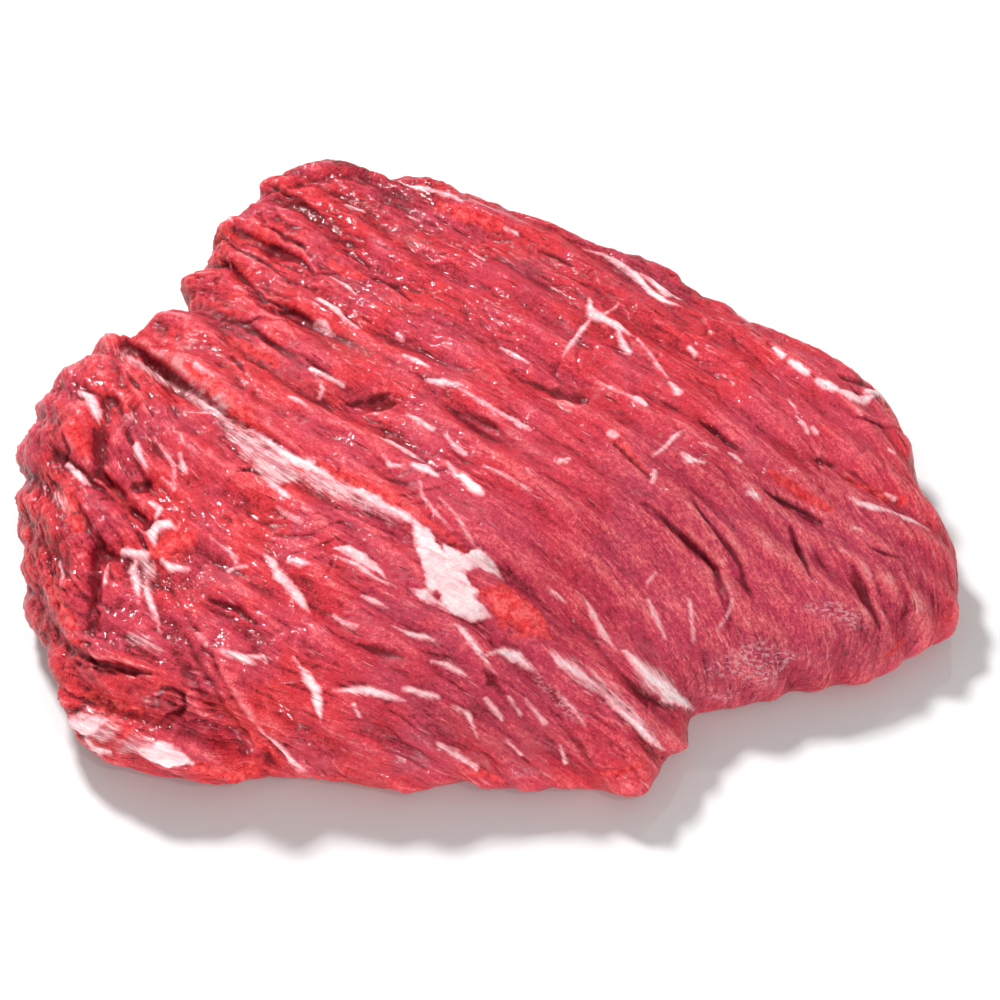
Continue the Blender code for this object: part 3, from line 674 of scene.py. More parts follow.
# How ragged the skin is: x and y on the skin, and the height of its fine relief
RAGGEDNESS = np.array([
    (-100, 70, 1.3), (-130, 60, 1.5), (-60, 90, 1.0), (-60, 30, 0.9), (0, 60, 0.7), (0, 0, 0.6), (60, 0, 0.6),
    (110, 20, 0.8), (60, -60, 0.35), (90, -90, 0.35), (130, -60, 0.6), (140, -100, 0.5), (-40, -40, 0.7),
    (-150, -40, 1.3), (-150, -100, 1.3), (-110, -60, 0.9), (-70, -90, 0.6), (-20, -120, 0.5), (30, -140, 0.6),
    (-100, -140, 1.2), (-60, -165, 1.0), (100, 60, 1.2), (0, 120, 1.2), (-60, 130, 1.2),
], float)
RAGGED_REACH = 28.0

# Layers of the meat, like low shingles: spacing across the grain, length along it, height
SHINGLES = [(9.5, 30.0, 0.8), (5.2, 17.0, 0.6), (3.0, 11.0, 0.3)]
# Share of a shingle's spacing that its steep lip takes, and the least width of the lip
LIP_SHARE = 0.14
LEAST_LIP = 1.0
# Fine crack under the lip: half width, and depth as a share of the shingle's height
CRACK_HALF_WIDTH = 0.7
LIP_CRACK = 0.45
# Sway of the shingles' edges, and the width over which it turns, in spacings
SHINGLE_SWAY = 1.05
SWAY_WIDTH = 2.5
# Patches of shingles: length in lengths, width in spacings
PATCH_LENGTH = 0.7
PATCH_WIDTH = 3
# Fibres: length along the grain, spacing across it, height
FIBRES = [(18.0, 4.6, 0.34), (10.0, 2.4, 0.22), (6.0, 1.5, 0.16)]
# Short tears: length along the grain, spacing across it, depth
TEARS = (9.0, 1.6, 0.45)
# Crumbled meat where the skin is ragged: size and height
CRUMBLE = [(13.0, 0.9), (7.0, 0.55), (3.4, 0.34), (2.0, 0.2)]
# Beads of the wet meat: size and height
BEADS = (1.9, 0.55)
# Seeds of these patterns, and how far the seeds of a pattern's sizes are apart
SHINGLE_SEED, SHINGLE_SEED_STEP, PATCH_SEED_STEP = 310, 20, 5
FIBRE_SEED, FIBRE_SEED_STEP = 40, 7
CRUMBLE_SEED, CRUMBLE_SEED_STEP = 120, 9
TEAR_SEED = 90
BEAD_SEED = 150
# Widest stroke, in pixels, that is a narrow crack, and its depth; the narrow cracks also get painted shade
CRACK_WIDTH_LIMIT = 6
CRACK_DEPTH = 0.5
# Height of the fat and of the film, depth of the shade, and how far they calm the finer relief
FAT_PROUD = 0.5
FILM_PROUD = 0.3
SHADE_DEPTH = 1.5
CALM_SHARE = 0.75
FILM_CALM = 0.7
MARK_HEIGHTS = {"fat": FAT_PROUD, "film": FILM_PROUD, "shade": -SHADE_DEPTH, "crack": -CRACK_DEPTH}
# Where the fine relief eases in: by raggedness, by the depth in millimetres inside a mark, or by noise
EASE = {
    "crumble": (0.5, 1.3), "calm of fat": (-0.3, 0.6), "calm of film": (-0.5, 1.0), "beads": (-0.2, 1.0),
    "fat": (-0.4, 1.2), "film": (-0.8, 1.6), "shade": (-0.9, 2.2), "crack": (-0.6, 0.5),
    "tear": (0.62, 1.05), "patch": (-0.15, 0.7),
}
# Share of the skin's radius, at its edge, over which all relief dies out
HEM = 0.08

# Depth in millimetres to which a mark is followed, inside and outside
MARK_LIMIT = 4.0
LEAST_HALF_WIDTH = 0.35
# Half width of a stroke as a share of its picked width, and how far noise of a size moves its edge
STROKE_SHARE = 0.55
STROKE_WANDER = 0.28
WANDER_SIZE = 4.3
# Width of a stroke's ends as a share of the picked one
END_SHARE = 0.35
# Strokes of this many places or fewer keep their full width at the ends, if they aren't pointed
SHORT_STROKE = 3
# Reaches over which the skin's local mean height is taken, and their weights, for the painted shade of its
# hollows and the painted light of its rises
HOLLOW_REACHES = [(1.3, 1.5), (3.5, 0.45)]
# Times that a local mean is taken, each time along the other side of the net
MEAN_PASSES = 4

CRACKS = [stroke for stroke in DARK if max(width for across, down, width in stroke) <= CRACK_WIDTH_LIMIT]
# Each mark's strokes, the seed of its ragged edge, and whether its ends are pointed
MARKS = {
    "fat": (SEAM_FAT + BACK_FAT + LOBE_FAT, 201, False),
    "film": (FILM, 211, False),
    "wet": (WET_RED, 221, False),
    "sheen": (SHEEN, 241, False),
    "shade": (DARK, 231, True),
    "crack": (CRACKS, 231, True),
}
# Quads along the side of the sheet on which the photo's pixels are looked up
SIGHT_QUADS = 420

# Shift of the back muscle's patterns, so that they don't match the lobe's
MUSCLE_SHIFT = 50.0


def smooth_step(low, high, value):
    """Eased rise from 0 at low to 1 at high."""
    t = np.clip((value - low) / (high - low), 0, 1)
    return t * t * (3 - 2 * t)


def sight_table():
    """Skin places that face the photo's camera, and where each shows in it."""
    skin, ring = skin_sheet(SIGHT_QUADS)
    facing_out = outward(skin)
    places = smooth_slab(skin) + facing_out * main_relief(skin)[:, None]
    seen = ((places - VIEW_PLACE) * facing_out).sum(axis=1) < 0
    return skin[seen], photo_pixels(places)[seen]


def skin_at(table, across, down):
    """The skin place that shows nearest to a pixel of the photo."""
    skin, pixels = table
    return skin[np.argmin((pixels[:, 0] - across) ** 2 + (pixels[:, 1] - down) ** 2)]


def near_path(skin, path, margin):
    """Which skin places lie in the path's box, widened by a margin."""
    low = path[:, :2].min(axis=0) - margin
    high = path[:, :2].max(axis=0) + margin
    return np.nonzero(((skin > low) & (skin < high)).all(axis=1))[0]


def on_skin(stroke, table, pointed):
    """A stroke's places on the skin with its half width in millimetres, from its pixels and widths.

    Long strokes, and all pointed ones, narrow towards their ends.
    """
    laid = np.array([
        (*skin_at(table, across, down), max(width * MM_PER_PIXEL * STROKE_SHARE, LEAST_HALF_WIDTH))
        for across, down, width in stroke])
    if pointed or len(stroke) > SHORT_STROKE:
        laid[[0, -1], 2] *= END_SHARE
    return laid


def mark_depth(skin, table, strokes, seed, pointed):
    """How far inside the nearest stroke each skin place lies, in millimetres; negative outside."""
    depth = np.full(len(skin), -MARK_LIMIT)
    wander = layered(skin[:, 0] / WANDER_SIZE, skin[:, 1] / WANDER_SIZE, seed)
    for stroke in strokes:
        path = on_skin(stroke, table, pointed)
        near = near_path(skin, path, path[:, 2].max() + MARK_LIMIT)
        away, half_width, side = along_path(skin[near], path)
        inside = half_width * (1 + STROKE_WANDER * wander[near]) - away
        depth[near] = np.maximum(depth[near], inside)
    return np.clip(depth, -MARK_LIMIT, MARK_LIMIT)


def lip_relief(skin, table):
    """Steps at the lips: each layer falls away behind its lip, and rises again from the hollow at its foot.

    The height runs along the lip and dies out with the distance from it, by a power of e on each side.
    """
    relief = np.zeros(len(skin))
    for lip in LIPS:
        path = np.array([(*skin_at(table, across, down), height) for across, down, height in lip])
        near = near_path(skin, path, LIP_MARGIN)
        away, height, side = along_path(skin[near], path)
        upper = smooth_step(-LIP_SLOPE, LIP_SLOPE, away * side * np.sign(height))
        fall = LIP_RISE * upper * np.exp(-away / LIP_REACH)
        fall -= FOOT_DROP * (1 - upper) * np.exp(-away / FOOT_REACH)
        relief[near] += np.abs(height) * fall
    return relief


def behind_crevice(skin):
    """Whether skin places belong to the back muscle, across the crevice from the lobe."""
    crevice = [(x, y, 0) for x, y, depth in CREASES["crevice between the muscles"][1]]
    return along_path(skin, crevice)[2] > 0


def grain_places(skin):
    """Places along and across the grain for the back muscle and for the lobe, in millimetres."""
    maps = []
    for named in (BACK_GRAIN, LOBE_GRAIN):
        along_net, across_net = grain_net(named)
        maps.append(np.column_stack([read_net(along_net, skin), read_net(across_net, skin)]))
    return maps


def shingle_relief(along, across, spacing, length, height, seed):
    """Low overlapping layers: each falls evenly to the back, then rises steeply to the next one's lip.

    The share of a turn across the grain, swayed by noise, gives the profile; patches of noise fade it.
    """
    sway = SHINGLE_SWAY * layered(along / length, across / (SWAY_WIDTH * spacing), seed)
    step = np.mod(across / spacing + sway, 1)
    lip = max(LIP_SHARE, LEAST_LIP / spacing)
    profile = np.where(step < 1 - lip, 1 - step / (1 - lip), (step - 1 + lip) / lip)
    crack = np.exp(-(((step - 1 + lip) * spacing / CRACK_HALF_WIDTH) ** 2))
    seed += PATCH_SEED_STEP
    patches = layered(along / (PATCH_LENGTH * length), across / (PATCH_WIDTH * spacing), seed, layers=2)
    return height * smooth_step(*EASE["patch"], patches) * (profile - 0.5 - LIP_CRACK * crack)


def tear_relief(along, across):
    """Short slits along the grain, wherever stretched noise is low."""
    length, spacing, depth = TEARS
    waves = layered(along / length, across / spacing, TEAR_SEED, layers=2)
    return -depth * smooth_step(*EASE["tear"], -waves)


def fine_relief(skin, grain, marks):
    """Sum of layers, fibres, tears and crumbled meat, which fat and film calm, and of the marks' own relief.

    Wet meat is beaded, fat and film stand proud, shade and cracks are sunk.
    """
    along, across = grain.T
    ragged = blended(RAGGEDNESS, RAGGED_REACH, skin[:, 0], skin[:, 1])
    relief = np.zeros(len(skin))
    for k, (spacing, length, height) in enumerate(SHINGLES):
        seed = SHINGLE_SEED + SHINGLE_SEED_STEP * k
        relief += ragged * shingle_relief(along, across, spacing, length, height, seed)
    for k, (length, spacing, height) in enumerate(FIBRES):
        seed = FIBRE_SEED + FIBRE_SEED_STEP * k
        relief += height * layered(along / length, across / spacing, seed, layers=2)
    relief += tear_relief(along, across)
    rough = smooth_step(*EASE["crumble"], ragged)
    for k, (size, height) in enumerate(CRUMBLE):
        seed = CRUMBLE_SEED + CRUMBLE_SEED_STEP * k
        relief += rough * height * layered(skin[:, 0] / size, skin[:, 1] / size, seed, layers=2)
    calm = np.maximum(smooth_step(*EASE["calm of fat"], marks["fat"]),
                      FILM_CALM * smooth_step(*EASE["calm of film"], marks["film"]))
    relief *= 1 - CALM_SHARE * calm
    size, height = BEADS
    beads = layered(skin[:, 0] / size, skin[:, 1] / size, BEAD_SEED, layers=2)
    relief += height * smooth_step(*EASE["beads"], marks["wet"]) * beads
    for name, height in MARK_HEIGHTS.items():
        relief += height * smooth_step(*EASE[name], marks[name])
    return relief


def local_mean(height, cells):
    """Mean of a net of heights over a square of so many cells, from running sums along each side in turn."""
    for turn in range(MEAN_PASSES):
        padded = np.pad(height, ((cells + 1, cells), (0, 0)), mode="edge")
        total = np.cumsum(padded, axis=0)
        height = ((total[2 * cells + 1:] - total[:-2 * cells - 1]) / (2 * cells + 1)).T
    return height


def hollows(relief, cell):
    """How far each place stands above the local means of the relief around it, in millimetres."""
    net = relief.reshape(SKIN_QUADS + 1, SKIN_QUADS + 1)
    above = np.zeros_like(net)
    for reach, weight in HOLLOW_REACHES:
        above += weight * (net - local_mean(net, max(1, round(reach / cell))))
    return above.ravel()


def fit_to_model(places):
    """Fit places in the maker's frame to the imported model's box, in metres."""
    low = places.min(axis=0)
    high = places.max(axis=0)
    size = (np.array(cad_high) - np.array(cad_low)) / (high - low)
    return (places - low) * size + np.array(cad_low), (low, size)


def make_mesh(name, places, faces, material, normals=None):
    """One smooth-shaded mesh object from places in metres, lists of corners and the points' directions."""
    mesh = bpy.data.meshes.new(name)
    mesh.from_pydata(places.tolist(), [], faces.tolist())
    mesh.shade_smooth()
    if normals is not None:
        mesh.normals_split_custom_set_from_vertices(normals.tolist())
    mesh.materials.append(material)
    piece = bpy.data.objects.new(name, mesh)
    bpy.context.scene.collection.objects.link(piece)
    return piece


def point_directions(net):
    """Outward direction at each place of a net: the cross product of its slopes along both sides."""
    east = np.gradient(net, axis=1)
    north = np.gradient(net, axis=0)
    normal = np.cross(east, north)
    return normal / np.maximum(np.linalg.norm(normal, axis=-1, keepdims=True), LEAST_WEIGHT)


def add_values(mesh, name, values):
    """One number for each point of the mesh, which its material reads."""
    layer = mesh.attributes.new(name, "FLOAT", "POINT")
    layer.data.foreach_set("value", np.asarray(values, np.float32).ravel())


def meat_pieces(material):
    """The slab's skin as four quarters that meet point on point, with its marks and grain, and its base."""
    skin, ring = skin_sheet(SKIN_QUADS)
    table = sight_table()
    values = {name: mark_depth(skin, table, *mark) for name, mark in MARKS.items()}
    back = behind_crevice(skin)
    back_grain, lobe_grain = grain_places(skin)
    grain = np.where(back[:, None], back_grain, lobe_grain)
    fade = np.clip((1 - ring) / HEM, 0, 1)
    relief = fade * (main_relief(skin) + lip_relief(skin, table) + fine_relief(skin, grain, values))
    places = smooth_slab(skin) + outward(skin) * relief[:, None]
    places[:, 2] = np.maximum(places[:, 2], 0)
    places[ring > 1 - LEAST_WEIGHT, 2] = 0
    fitted, frame_fit = fit_to_model(places)

    # The skin's rise above its local mean, which the material turns into painted shade in hollows and painted
    # light on rises
    values["rise"] = hollows(relief, 2 * np.abs(skin).max() / SKIN_QUADS)
    away = (skin[:, :1] - TINTS[:, 0]) ** 2 + (skin[:, 1:] - TINTS[:, 1]) ** 2
    weight = np.exp(-away / (2 * TINTS[:, 2] ** 2))
    values["pale"] = weight @ TINTS[:, 3]
    values["purple"] = weight @ TINTS[:, 4]
    values["ragged"] = blended(RAGGEDNESS, RAGGED_REACH, skin[:, 0], skin[:, 1])

    side = SKIN_QUADS + 1
    net = fitted.reshape(side, side, 3)
    directions = point_directions(net)
    nets = {name: value.reshape(side, side) for name, value in values.items()}
    skin_net = skin.reshape(side, side, 2)
    back_net = back_grain.reshape(side, side, 2)
    lobe_net = lobe_grain.reshape(side, side, 2)
    quarter = QUARTER_QUADS + 1
    index = np.arange(quarter * quarter).reshape(quarter, quarter)
    quads = np.stack([index[:-1, :-1], index[:-1, 1:], index[1:, 1:], index[1:, :-1]], axis=-1).reshape(-1, 4)
    pieces = []
    for name, (row, column) in QUARTERS.items():
        window = (slice(row * QUARTER_QUADS, row * QUARTER_QUADS + quarter),
                  slice(column * QUARTER_QUADS, column * QUARTER_QUADS + quarter))
        piece = make_mesh(name, net[window].reshape(-1, 3), quads, material, directions[window].reshape(-1, 3))
        for value_name, value in nets.items():
            add_values(piece.data, value_name, value[window])
        behind = behind_crevice(skin_net[window].reshape(-1, 2)[quads].mean(axis=1))[:, None, None]
        back_corners = back_net[window].reshape(-1, 2)[quads]
        lobe_corners = lobe_net[window].reshape(-1, 2)[quads]
        shift = np.broadcast_to(np.where(behind, MUSCLE_SHIFT, 0.0), (len(quads), 4, 1))
        vectors = np.concatenate([np.where(behind, back_corners, lobe_corners), shift], axis=-1)
        layer = piece.data.attributes.new("grain", "FLOAT_VECTOR", "CORNER")
        layer.data.foreach_set("vector", vectors.astype(np.float32).ravel())
        pieces.append(piece)

    rim = np.concatenate([net[0, :-1], net[:-1, -1], net[-1, :0:-1], net[:0:-1, 0]])
    around = np.arange(len(rim))
    fan = np.column_stack([np.roll(around, -1), around, np.full(len(rim), len(rim))])
    base = make_mesh("beef_base", np.vstack([rim, (0, 0, 0)]), fan, material)
    return pieces + [base], frame_fit


def tint(red, green, blue):
    """Linear colour of an sRGB one given from 0 to 255."""
    share = np.array([red, green, blue]) / 255
    linear = np.where(share <= 0.04045, share / 12.92, ((share + 0.055) / 1.055) ** 2.4)
    return (*(float(c) for c in linear), 1.0)


class Shader:
    """Short ways to add nodes to one material."""

    def __init__(self, name):
        self.material = bpy.data.materials.new(name)
        self.material.use_nodes = True
        self.tree = self.material.node_tree
        self.main = self.tree.nodes["Principled BSDF"]

    def set(self, node, sockets):
        """Fill sockets with numbers, or link them to other nodes' outputs."""
        for name, value in sockets.items():
            if isinstance(value, bpy.types.NodeSocket):
                self.tree.links.new(value, node.inputs[name])
            else:
                node.inputs[name].default_value = value

    def add(self, kind, sockets=None, **settings):
        """A new node of a kind, with its settings and sockets filled."""
        node = self.tree.nodes.new(kind)
        for name, value in settings.items():
            setattr(node, name, value)
        self.set(node, sockets or {})
        return node

    def value(self, name):
        """The mesh's number of this name."""
        return self.add("ShaderNodeAttribute", attribute_name=name).outputs["Fac"]

    def noise(self, over, scale, stretch, detail, roughness):
        """Noise over a vector that is first stretched."""
        mapped = self.add("ShaderNodeMapping", {"Vector": over, "Scale": stretch}).outputs["Vector"]
        sockets = {"Vector": mapped, "Scale": scale, "Detail": detail, "Roughness": roughness}
        return self.add("ShaderNodeTexNoise", sockets).outputs["Fac"]

    def math(self, operation, *terms):
        """A chain of one operation over numbers, from the first to the last."""
        total = terms[0]
        for term in terms[1:]:
            total = self.add("ShaderNodeMath", {0: total, 1: term}, operation=operation).outputs[0]
        return total

    def plus(self, *terms):
        """Sum of numbers."""
        return self.math("ADD", *terms)

    def times(self, *terms):
        """Product of numbers."""
        return self.math("MULTIPLY", *terms)

    def swing(self, wave, weight=1.0):
        """A wave from 0 to 1, moved to swing about 0, times its weight."""
        moved = self.math("SUBTRACT", wave, 0.5)
        return moved if weight == 1.0 else self.times(moved, weight)

    def rise(self, value, name):
        """Eased rise of a value over the named range."""
        low, high, bottom, top = RANGES[name]
        sockets = {"Value": value, "From Min": low, "From Max": high, "To Min": bottom, "To Max": top}
        return self.add("ShaderNodeMapRange", sockets, interpolation_type="SMOOTHSTEP").outputs["Result"]

    def mix(self, share, first, second):
        """Blend of two colours."""
        node = self.add("ShaderNodeMix", {0: share, 6: first, 7: second}, data_type="RGBA")
        return node.outputs[2]

    def bump(self, height, distance, below=None):
        """Fine relief from a height, over the relief below it."""
        sockets = {"Height": height, "Distance": distance}
        if below is not None:
            sockets["Normal"] = below
        return self.add("ShaderNodeBump", sockets).outputs["Normal"]


# Colours of the meat, given in sRGB from 0 to 255; those of the slits, hollows, shade and cracks are painted
# shade, and the sheen is a painted highlight
COLOUR = {
    "warm lean": (212, 48, 56), "cool lean": (198, 58, 78), "purple lean": (188, 52, 86),
    "purple veil": (184, 48, 84), "dark lean": (118, 12, 28), "light lean": (240, 102, 108),
    "palest lean": (246, 156, 158), "fleck": (246, 166, 168), "streak": (242, 150, 154), "slit": (98, 10, 22),
    "clot": (202, 24, 32), "wet red": (250, 76, 76), "bright clot": (240, 50, 56),
    "bright red": (255, 108, 108), "thin film": (206, 130, 140), "film": (248, 212, 214),
    "sheen": (248, 176, 186), "hollow": (122, 4, 20), "shade": (116, 8, 22), "crack": (98, 6, 20),
    "thin fat": (246, 160, 168), "grained fat": (252, 196, 202), "fat": (255, 238, 238),
}
COLOUR = {name: tint(*colour) for name, colour in COLOUR.items()}
EVEN = (1.0, 1.0, 1.0)
# Noise patterns: what they run over, their scale, stretch, detail and roughness
PATTERNS = {
    "fibre": ("grain", 1.0, (0.15, 1.25, 1.0), 4.0, 0.7),
    "bundle": ("grain", 1.0, (0.06, 0.26, 1.0), 3.0, 0.6),
    "wrinkle": ("grain", 1.0, (0.42, 1.0, 1.0), 4.0, 0.7),
    "fleck": ("grain", 1.0, (0.09, 0.75, 1.0), 2.0, 0.6),
    "streak": ("grain", 1.0, (0.08, 0.5, 1.0), 1.5, 0.6),
    "slit": ("grain", 1.0, (0.07, 0.95, 1.0), 1.5, 0.6),
    "drops": ("grain", 1.0, (0.45, 0.85, 0.85), 1.5, 0.5),
    "mottle": ("place", 75.0, EVEN, 5.0, 0.65),
    "speck": ("place", 800.0, EVEN, 3.0, 0.75),
    "grit": ("place", 1900.0, EVEN, 2.0, 0.8),
    "edge": ("place", 520.0, EVEN, 3.0, 0.6),
    "hue": ("place", 34.0, EVEN, 4.0, 0.6),
    "clots": ("place", 420.0, EVEN, 4.0, 0.7),
    "beads": ("place", 620.0, EVEN, 4.0, 0.75),
    "dew": ("place", 60.0, EVEN, 2.0, 0.6),
    "ripples": ("place", 1.0, (520.0, 900.0, 900.0), 2.0, 0.6),
}
# How far each pattern and each of the mesh's values sways the tone from dark to pale; the rise's share is
# painted light on rises and painted shade in hollows
TONE_PATTERNS = {"fibre": 1.3, "bundle": 0.6, "mottle": 1.2, "speck": 1.7, "grit": 1.6}
TONE_VALUES = {"pale": 0.35, "rise": 0.48}
# How far the edge noise frays each mark, and the fibres the film and the fat
FRAY = {"wet": 3.0, "bright": 2.5, "sheen": 4.0, "shade": 2.0, "crack": 1.0, "fat": 1.1, "fat share": 0.5}
FIBRE_FRAY = {"film": 10.0, "fat": 2.2}
# Shares of the colours that cover others; those of the slits and of the shade are painted shade
COVER = {"slit": 0.75, "wet": 0.8, "film": 0.8, "shade": 0.62}
RAGGED_HUE = -0.06
# Eased ranges: from low to high, what they rise from and to
RANGES = {
    "wrinkles where purple": (0.1, 0.7, 0.0, 2.6),
    "hue": (0.36, 0.56, 0.0, 1.0),
    "purple lean": (0.0, 1.0, 0.0, 0.8),
    "purple veil": (0.0, 1.0, 0.0, 0.15),
    "out of the dark": (-0.9, -0.02, 0.0, 1.0),
    "into the light": (0.0, 0.75, 0.0, 1.0),
    "palest": (0.7, 1.2, 0.0, 1.0),
    "fleck": (0.66, 0.75, 0.0, 0.6),
    "streak": (0.66, 0.76, 0.0, 0.45),
    "slit": (0.335, 0.265, 0.0, 1.0),
    "wet": (-0.9, 1.4, 0.0, 1.0),
    "clots": (0.36, 0.6, 0.0, 1.0),
    "bright clots": (0.4, 0.62, 0.0, 1.0),
    "bright": (1.4, 3.7, 0.0, 0.92),
    "film": (-1.2, 3.4, 0.0, 1.0),
    "thick film": (0.4, 0.62, 0.0, 1.0),
    "sheen": (-2.0, 3.0, 0.0, 1.0),
    "painted sheen lines": (0.46, 0.62, 0.0, 0.68),
    "hollow": (-0.35, -1.7, 0.0, 0.5),
    "shade": (-0.9, 2.4, 0.0, 1.0),
    "crack": (-0.05, 0.7, 0.0, 0.6),
    "fat": (-0.6, 0.8, 0.0, 1.0),
    "fat grain": (0.3, 0.7, 0.0, 1.0),
    "thick fat": (0.0, 1.6, 0.0, 1.0),
    "fat share": (0.3, 0.56, 0.62, 0.97),
    "fibres under fat": (0.0, 1.0, 1.0, 0.35),
    "dew": (0.45, 0.58, 0.5, 1.5),
    "roughness": (0.1, 0.75, 0.2, 0.5),
}
# Depth of the fine bumps in metres, and the shares of the patterns in them
FIBRE_BUMP = 0.0009
BEAD_BUMP = 0.0009
COAT_BUMP = 0.0007
SLIT_BUMP = 0.8
COAT_WRINKLES = 0.3
COAT_RIPPLES = 0.8
WET_SMOOTHNESS = -0.35
MEAT_SURFACE = {
    "IOR": 1.4, "Specular IOR Level": 0.16, "Coat Weight": 0.45, "Coat Roughness": 0.06, "Coat IOR": 1.45,
    "Subsurface Weight": 0.05, "Subsurface Radius": (1.0, 0.3, 0.25), "Subsurface Scale": 0.0012,
}


def lean_colour(m, wave, value, wrinkles, slit):
    """Lean meat: a tone from dark to pale, summed from the patterns, over reds that turn purple in places."""
    waves = (m.swing(wave[name], weight) for name, weight in TONE_PATTERNS.items())
    values = (m.times(value[name], weight) for name, weight in TONE_VALUES.items())
    # The rise in the tone is painted light on the skin's rises and painted shade in its hollows
    tone = m.plus(*waves, wrinkles, *values)
    hue = m.rise(m.plus(wave["hue"], m.times(value["ragged"], RAGGED_HUE)), "hue")
    middle = m.mix(hue, COLOUR["warm lean"], COLOUR["cool lean"])
    middle = m.mix(m.rise(value["purple"], "purple lean"), middle, COLOUR["purple lean"])
    lean = m.mix(m.rise(tone, "out of the dark"), COLOUR["dark lean"], middle)
    lean = m.mix(m.rise(tone, "into the light"), lean, COLOUR["light lean"])
    lean = m.mix(m.rise(tone, "palest"), lean, COLOUR["palest lean"])
    lean = m.mix(m.rise(value["purple"], "purple veil"), lean, COLOUR["purple veil"])
    for name in ("fleck", "streak"):
        lean = m.mix(m.rise(wave[name], name), lean, COLOUR[name])
    # Painted shade in the slits along the grain, which are also bumped in
    return m.mix(m.times(slit, COVER["slit"]), lean, COLOUR["slit"])


def meat_material():
    """Raw beef: grained lean in several reds, and over it what the marks give.

    Each mark covers the colours before it, in this order: wet red, silvery film, a painted highlight of sheen
    on wrinkles, painted shade in hollows, painted deep shade, painted shade in cracks, and fat. The moist coat
    has its own bumps, which break the lights into glints.
    """
    m = Shader("raw_beef")
    over = {
        "grain": m.add("ShaderNodeAttribute", attribute_name="grain").outputs["Vector"],
        "place": m.add("ShaderNodeTexCoord").outputs["Object"],
    }
    wave = {name: m.noise(over[base], *pattern) for name, (base, *pattern) in PATTERNS.items()}
    value = {name: m.value(name) for name in (*MARKS, "rise", "pale", "purple", "ragged")}
    edge = m.swing(wave["edge"])
    wrinkles = m.times(m.swing(wave["wrinkle"]), m.rise(value["purple"], "wrinkles where purple"))
    # Slits along the grain: bumped in, and darkened with painted shade
    slit = m.rise(wave["slit"], "slit")
    colour = lean_colour(m, wave, value, wrinkles, slit)

    wet = m.rise(m.plus(value["wet"], m.times(edge, FRAY["wet"])), "wet")
    wet_colour = m.mix(m.rise(wave["clots"], "clots"), COLOUR["clot"], COLOUR["wet red"])
    colour = m.mix(m.times(wet, COVER["wet"]), colour, wet_colour)
    bright_colour = m.mix(m.rise(wave["clots"], "bright clots"), COLOUR["bright clot"], COLOUR["bright red"])
    bright = m.rise(m.plus(value["wet"], m.times(edge, FRAY["bright"])), "bright")
    colour = m.mix(bright, colour, bright_colour)

    film = m.rise(m.plus(value["film"], m.swing(wave["fibre"], FIBRE_FRAY["film"])), "film")
    thick = m.rise(m.plus(wave["fibre"], m.swing(wave["bundle"])), "thick film")
    film_colour = m.mix(thick, COLOUR["thin film"], COLOUR["film"])
    colour = m.mix(m.times(film, COVER["film"]), colour, film_colour)
    # Painted highlight: pale sheen lines on the wrinkled skin, where the low front light glints
    sheen = m.rise(m.plus(value["sheen"], m.times(edge, FRAY["sheen"])), "sheen")
    colour = m.mix(m.times(sheen, m.rise(wave["ripples"], "painted sheen lines")), colour, COLOUR["sheen"])

    # Painted shade in the hollows, where the skin lies below its local mean
    colour = m.mix(m.rise(value["rise"], "hollow"), colour, COLOUR["hollow"])
    # Painted deep shade over the dark strokes, partly the darker meat of old cuts
    shade = m.rise(m.plus(value["shade"], m.times(edge, FRAY["shade"])), "shade")
    colour = m.mix(m.times(shade, COVER["shade"]), colour, COLOUR["shade"])
    # Painted shade in the narrow cracks
    crack = m.rise(m.plus(value["crack"], m.times(edge, FRAY["crack"])), "crack")
    colour = m.mix(crack, colour, COLOUR["crack"])

    frayed = m.plus(m.times(edge, FRAY["fat"]), m.swing(wave["fibre"], FIBRE_FRAY["fat"]))
    fat_depth = m.plus(value["fat"], frayed)
    fat = m.rise(fat_depth, "fat")
    fat_core = m.mix(m.rise(m.plus(wave["fibre"], m.swing(wave["mottle"])), "fat grain"),
                     COLOUR["grained fat"], COLOUR["fat"])
    fat_colour = m.mix(m.rise(fat_depth, "thick fat"), COLOUR["thin fat"], fat_core)
    fat_share = m.rise(m.plus(wave["bundle"], m.times(edge, FRAY["fat share"])), "fat share")
    colour = m.mix(m.times(fat, fat_share), colour, fat_colour)

    fibre_height = m.times(wave["fibre"], m.rise(fat, "fibres under fat"))
    fibre_height = m.math("SUBTRACT", fibre_height, m.times(slit, SLIT_BUMP))
    normal = m.bump(m.plus(fibre_height, wrinkles), FIBRE_BUMP)
    normal = m.bump(wave["beads"], BEAD_BUMP, below=normal)
    dewy = m.plus(m.rise(wave["dew"], "dew"), wet)
    drops = m.plus(m.times(wave["drops"], dewy), m.times(wrinkles, COAT_WRINKLES),
                   m.times(wave["ripples"], m.times(sheen, COAT_RIPPLES)))
    roughness = m.rise(m.plus(wave["mottle"], m.times(wet, WET_SMOOTHNESS)), "roughness")
    m.set(m.main, {"Base Color": colour, "Roughness": roughness, "Normal": normal,
                   "Coat Normal": m.bump(drops, COAT_BUMP), **MEAT_SURFACE})
    return m.material


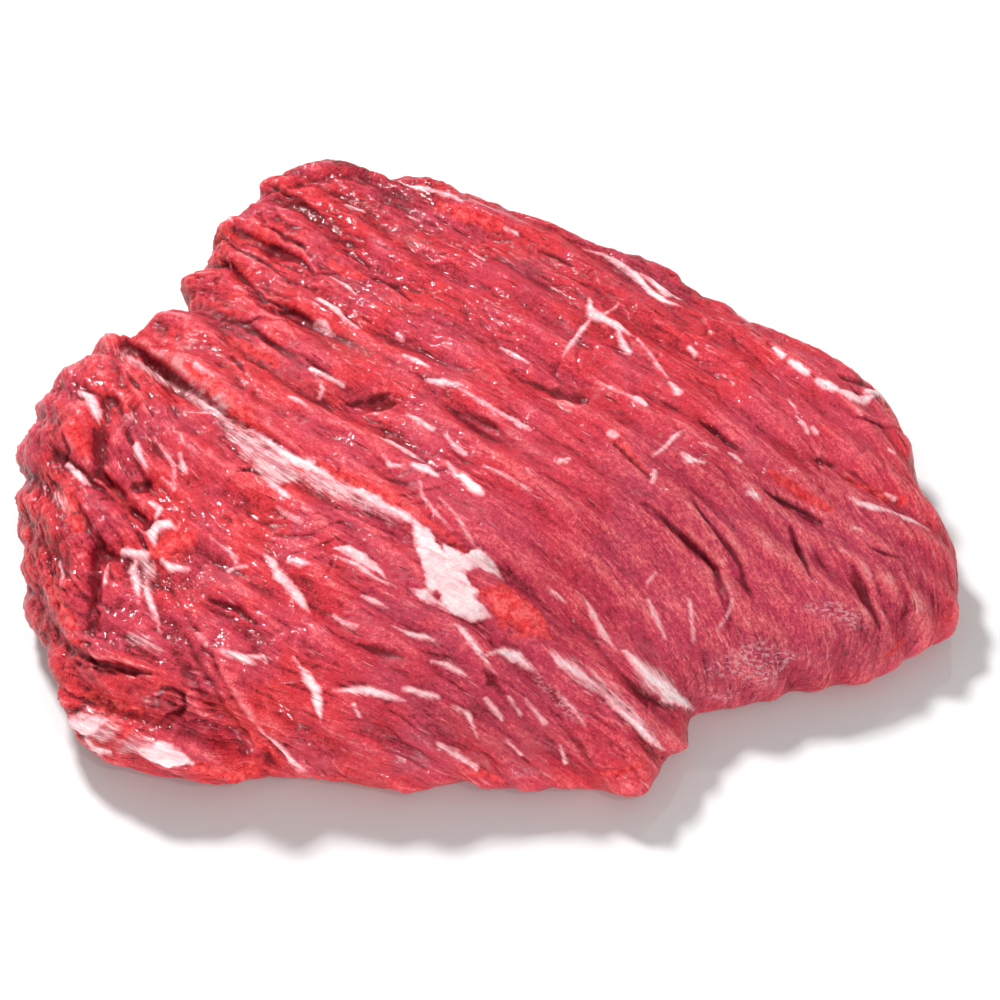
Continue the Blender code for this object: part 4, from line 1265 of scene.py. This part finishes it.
def floor():
    """Plain pale floor."""
    m = Shader("pale_floor")
    m.set(m.main, {"Base Color": (*[FLOOR_GREY] * 3, 1.0), "Roughness": 0.9, "Specular IOR Level": 0.1})
    corners = FLOOR_HALF * np.array([(-1, -1, 0), (1, -1, 0), (1, 1, 0), (-1, 1, 0)])
    make_mesh("pale_floor", corners, np.array([[0, 1, 2, 3]]), m.material)


def soft_light(name, place, aim, width, depth, power):
    """A soft rectangular studio light at a place, turned to its aim, in metres and watts."""
    data = bpy.data.lights.new(name, "AREA")
    data.shape = "RECTANGLE"
    data.size = width
    data.size_y = depth
    data.energy = power
    lamp = bpy.data.objects.new(name, data)
    lamp.location = place
    lamp.rotation_euler = (Vector(aim) - Vector(place)).to_track_quat("-Z", "Y").to_euler()
    bpy.context.scene.collection.objects.link(lamp)


def studio():
    """White surroundings, the main light above and behind, and smaller ones that give the gloss."""
    world = bpy.data.worlds.new("studio")
    world.use_nodes = True
    background = world.node_tree.nodes["Background"]
    background.inputs["Color"].default_value = (1.0, 1.0, 1.0, 1.0)
    background.inputs["Strength"].default_value = SURROUNDINGS
    bpy.context.scene.world = world
    for name, light in LIGHTS.items():
        soft_light(name, *light)
    bpy.context.scene.view_settings.view_transform = "Standard"


def photo_camera(frame_fit):
    """The photo's camera, carried from the maker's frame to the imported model's."""
    low, size = frame_fit
    aim = (VIEW_AIM - low) * size + np.array(cad_low)
    data = bpy.data.cameras.new("photo_camera")
    data.sensor_width = SENSOR_WIDTH
    data.lens = VIEW_DISTANCE / MM_PER_PIXEL / PHOTO_SIDE * SENSOR_WIDTH
    camera = bpy.data.objects.new("photo_camera", data)
    camera.location = aim - VIEW_DISTANCE * VIEW_FORWARD * size[0]
    camera.rotation_euler = Vector(VIEW_FORWARD).to_track_quat("-Z", "Y").to_euler()
    bpy.context.scene.collection.objects.link(camera)
    bpy.context.scene.camera = camera


pieces, frame_fit = meat_pieces(meat_material())
for piece in pieces:
    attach(piece, "root")
    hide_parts("beef_chuck")
floor()
studio()
photo_camera(frame_fit)
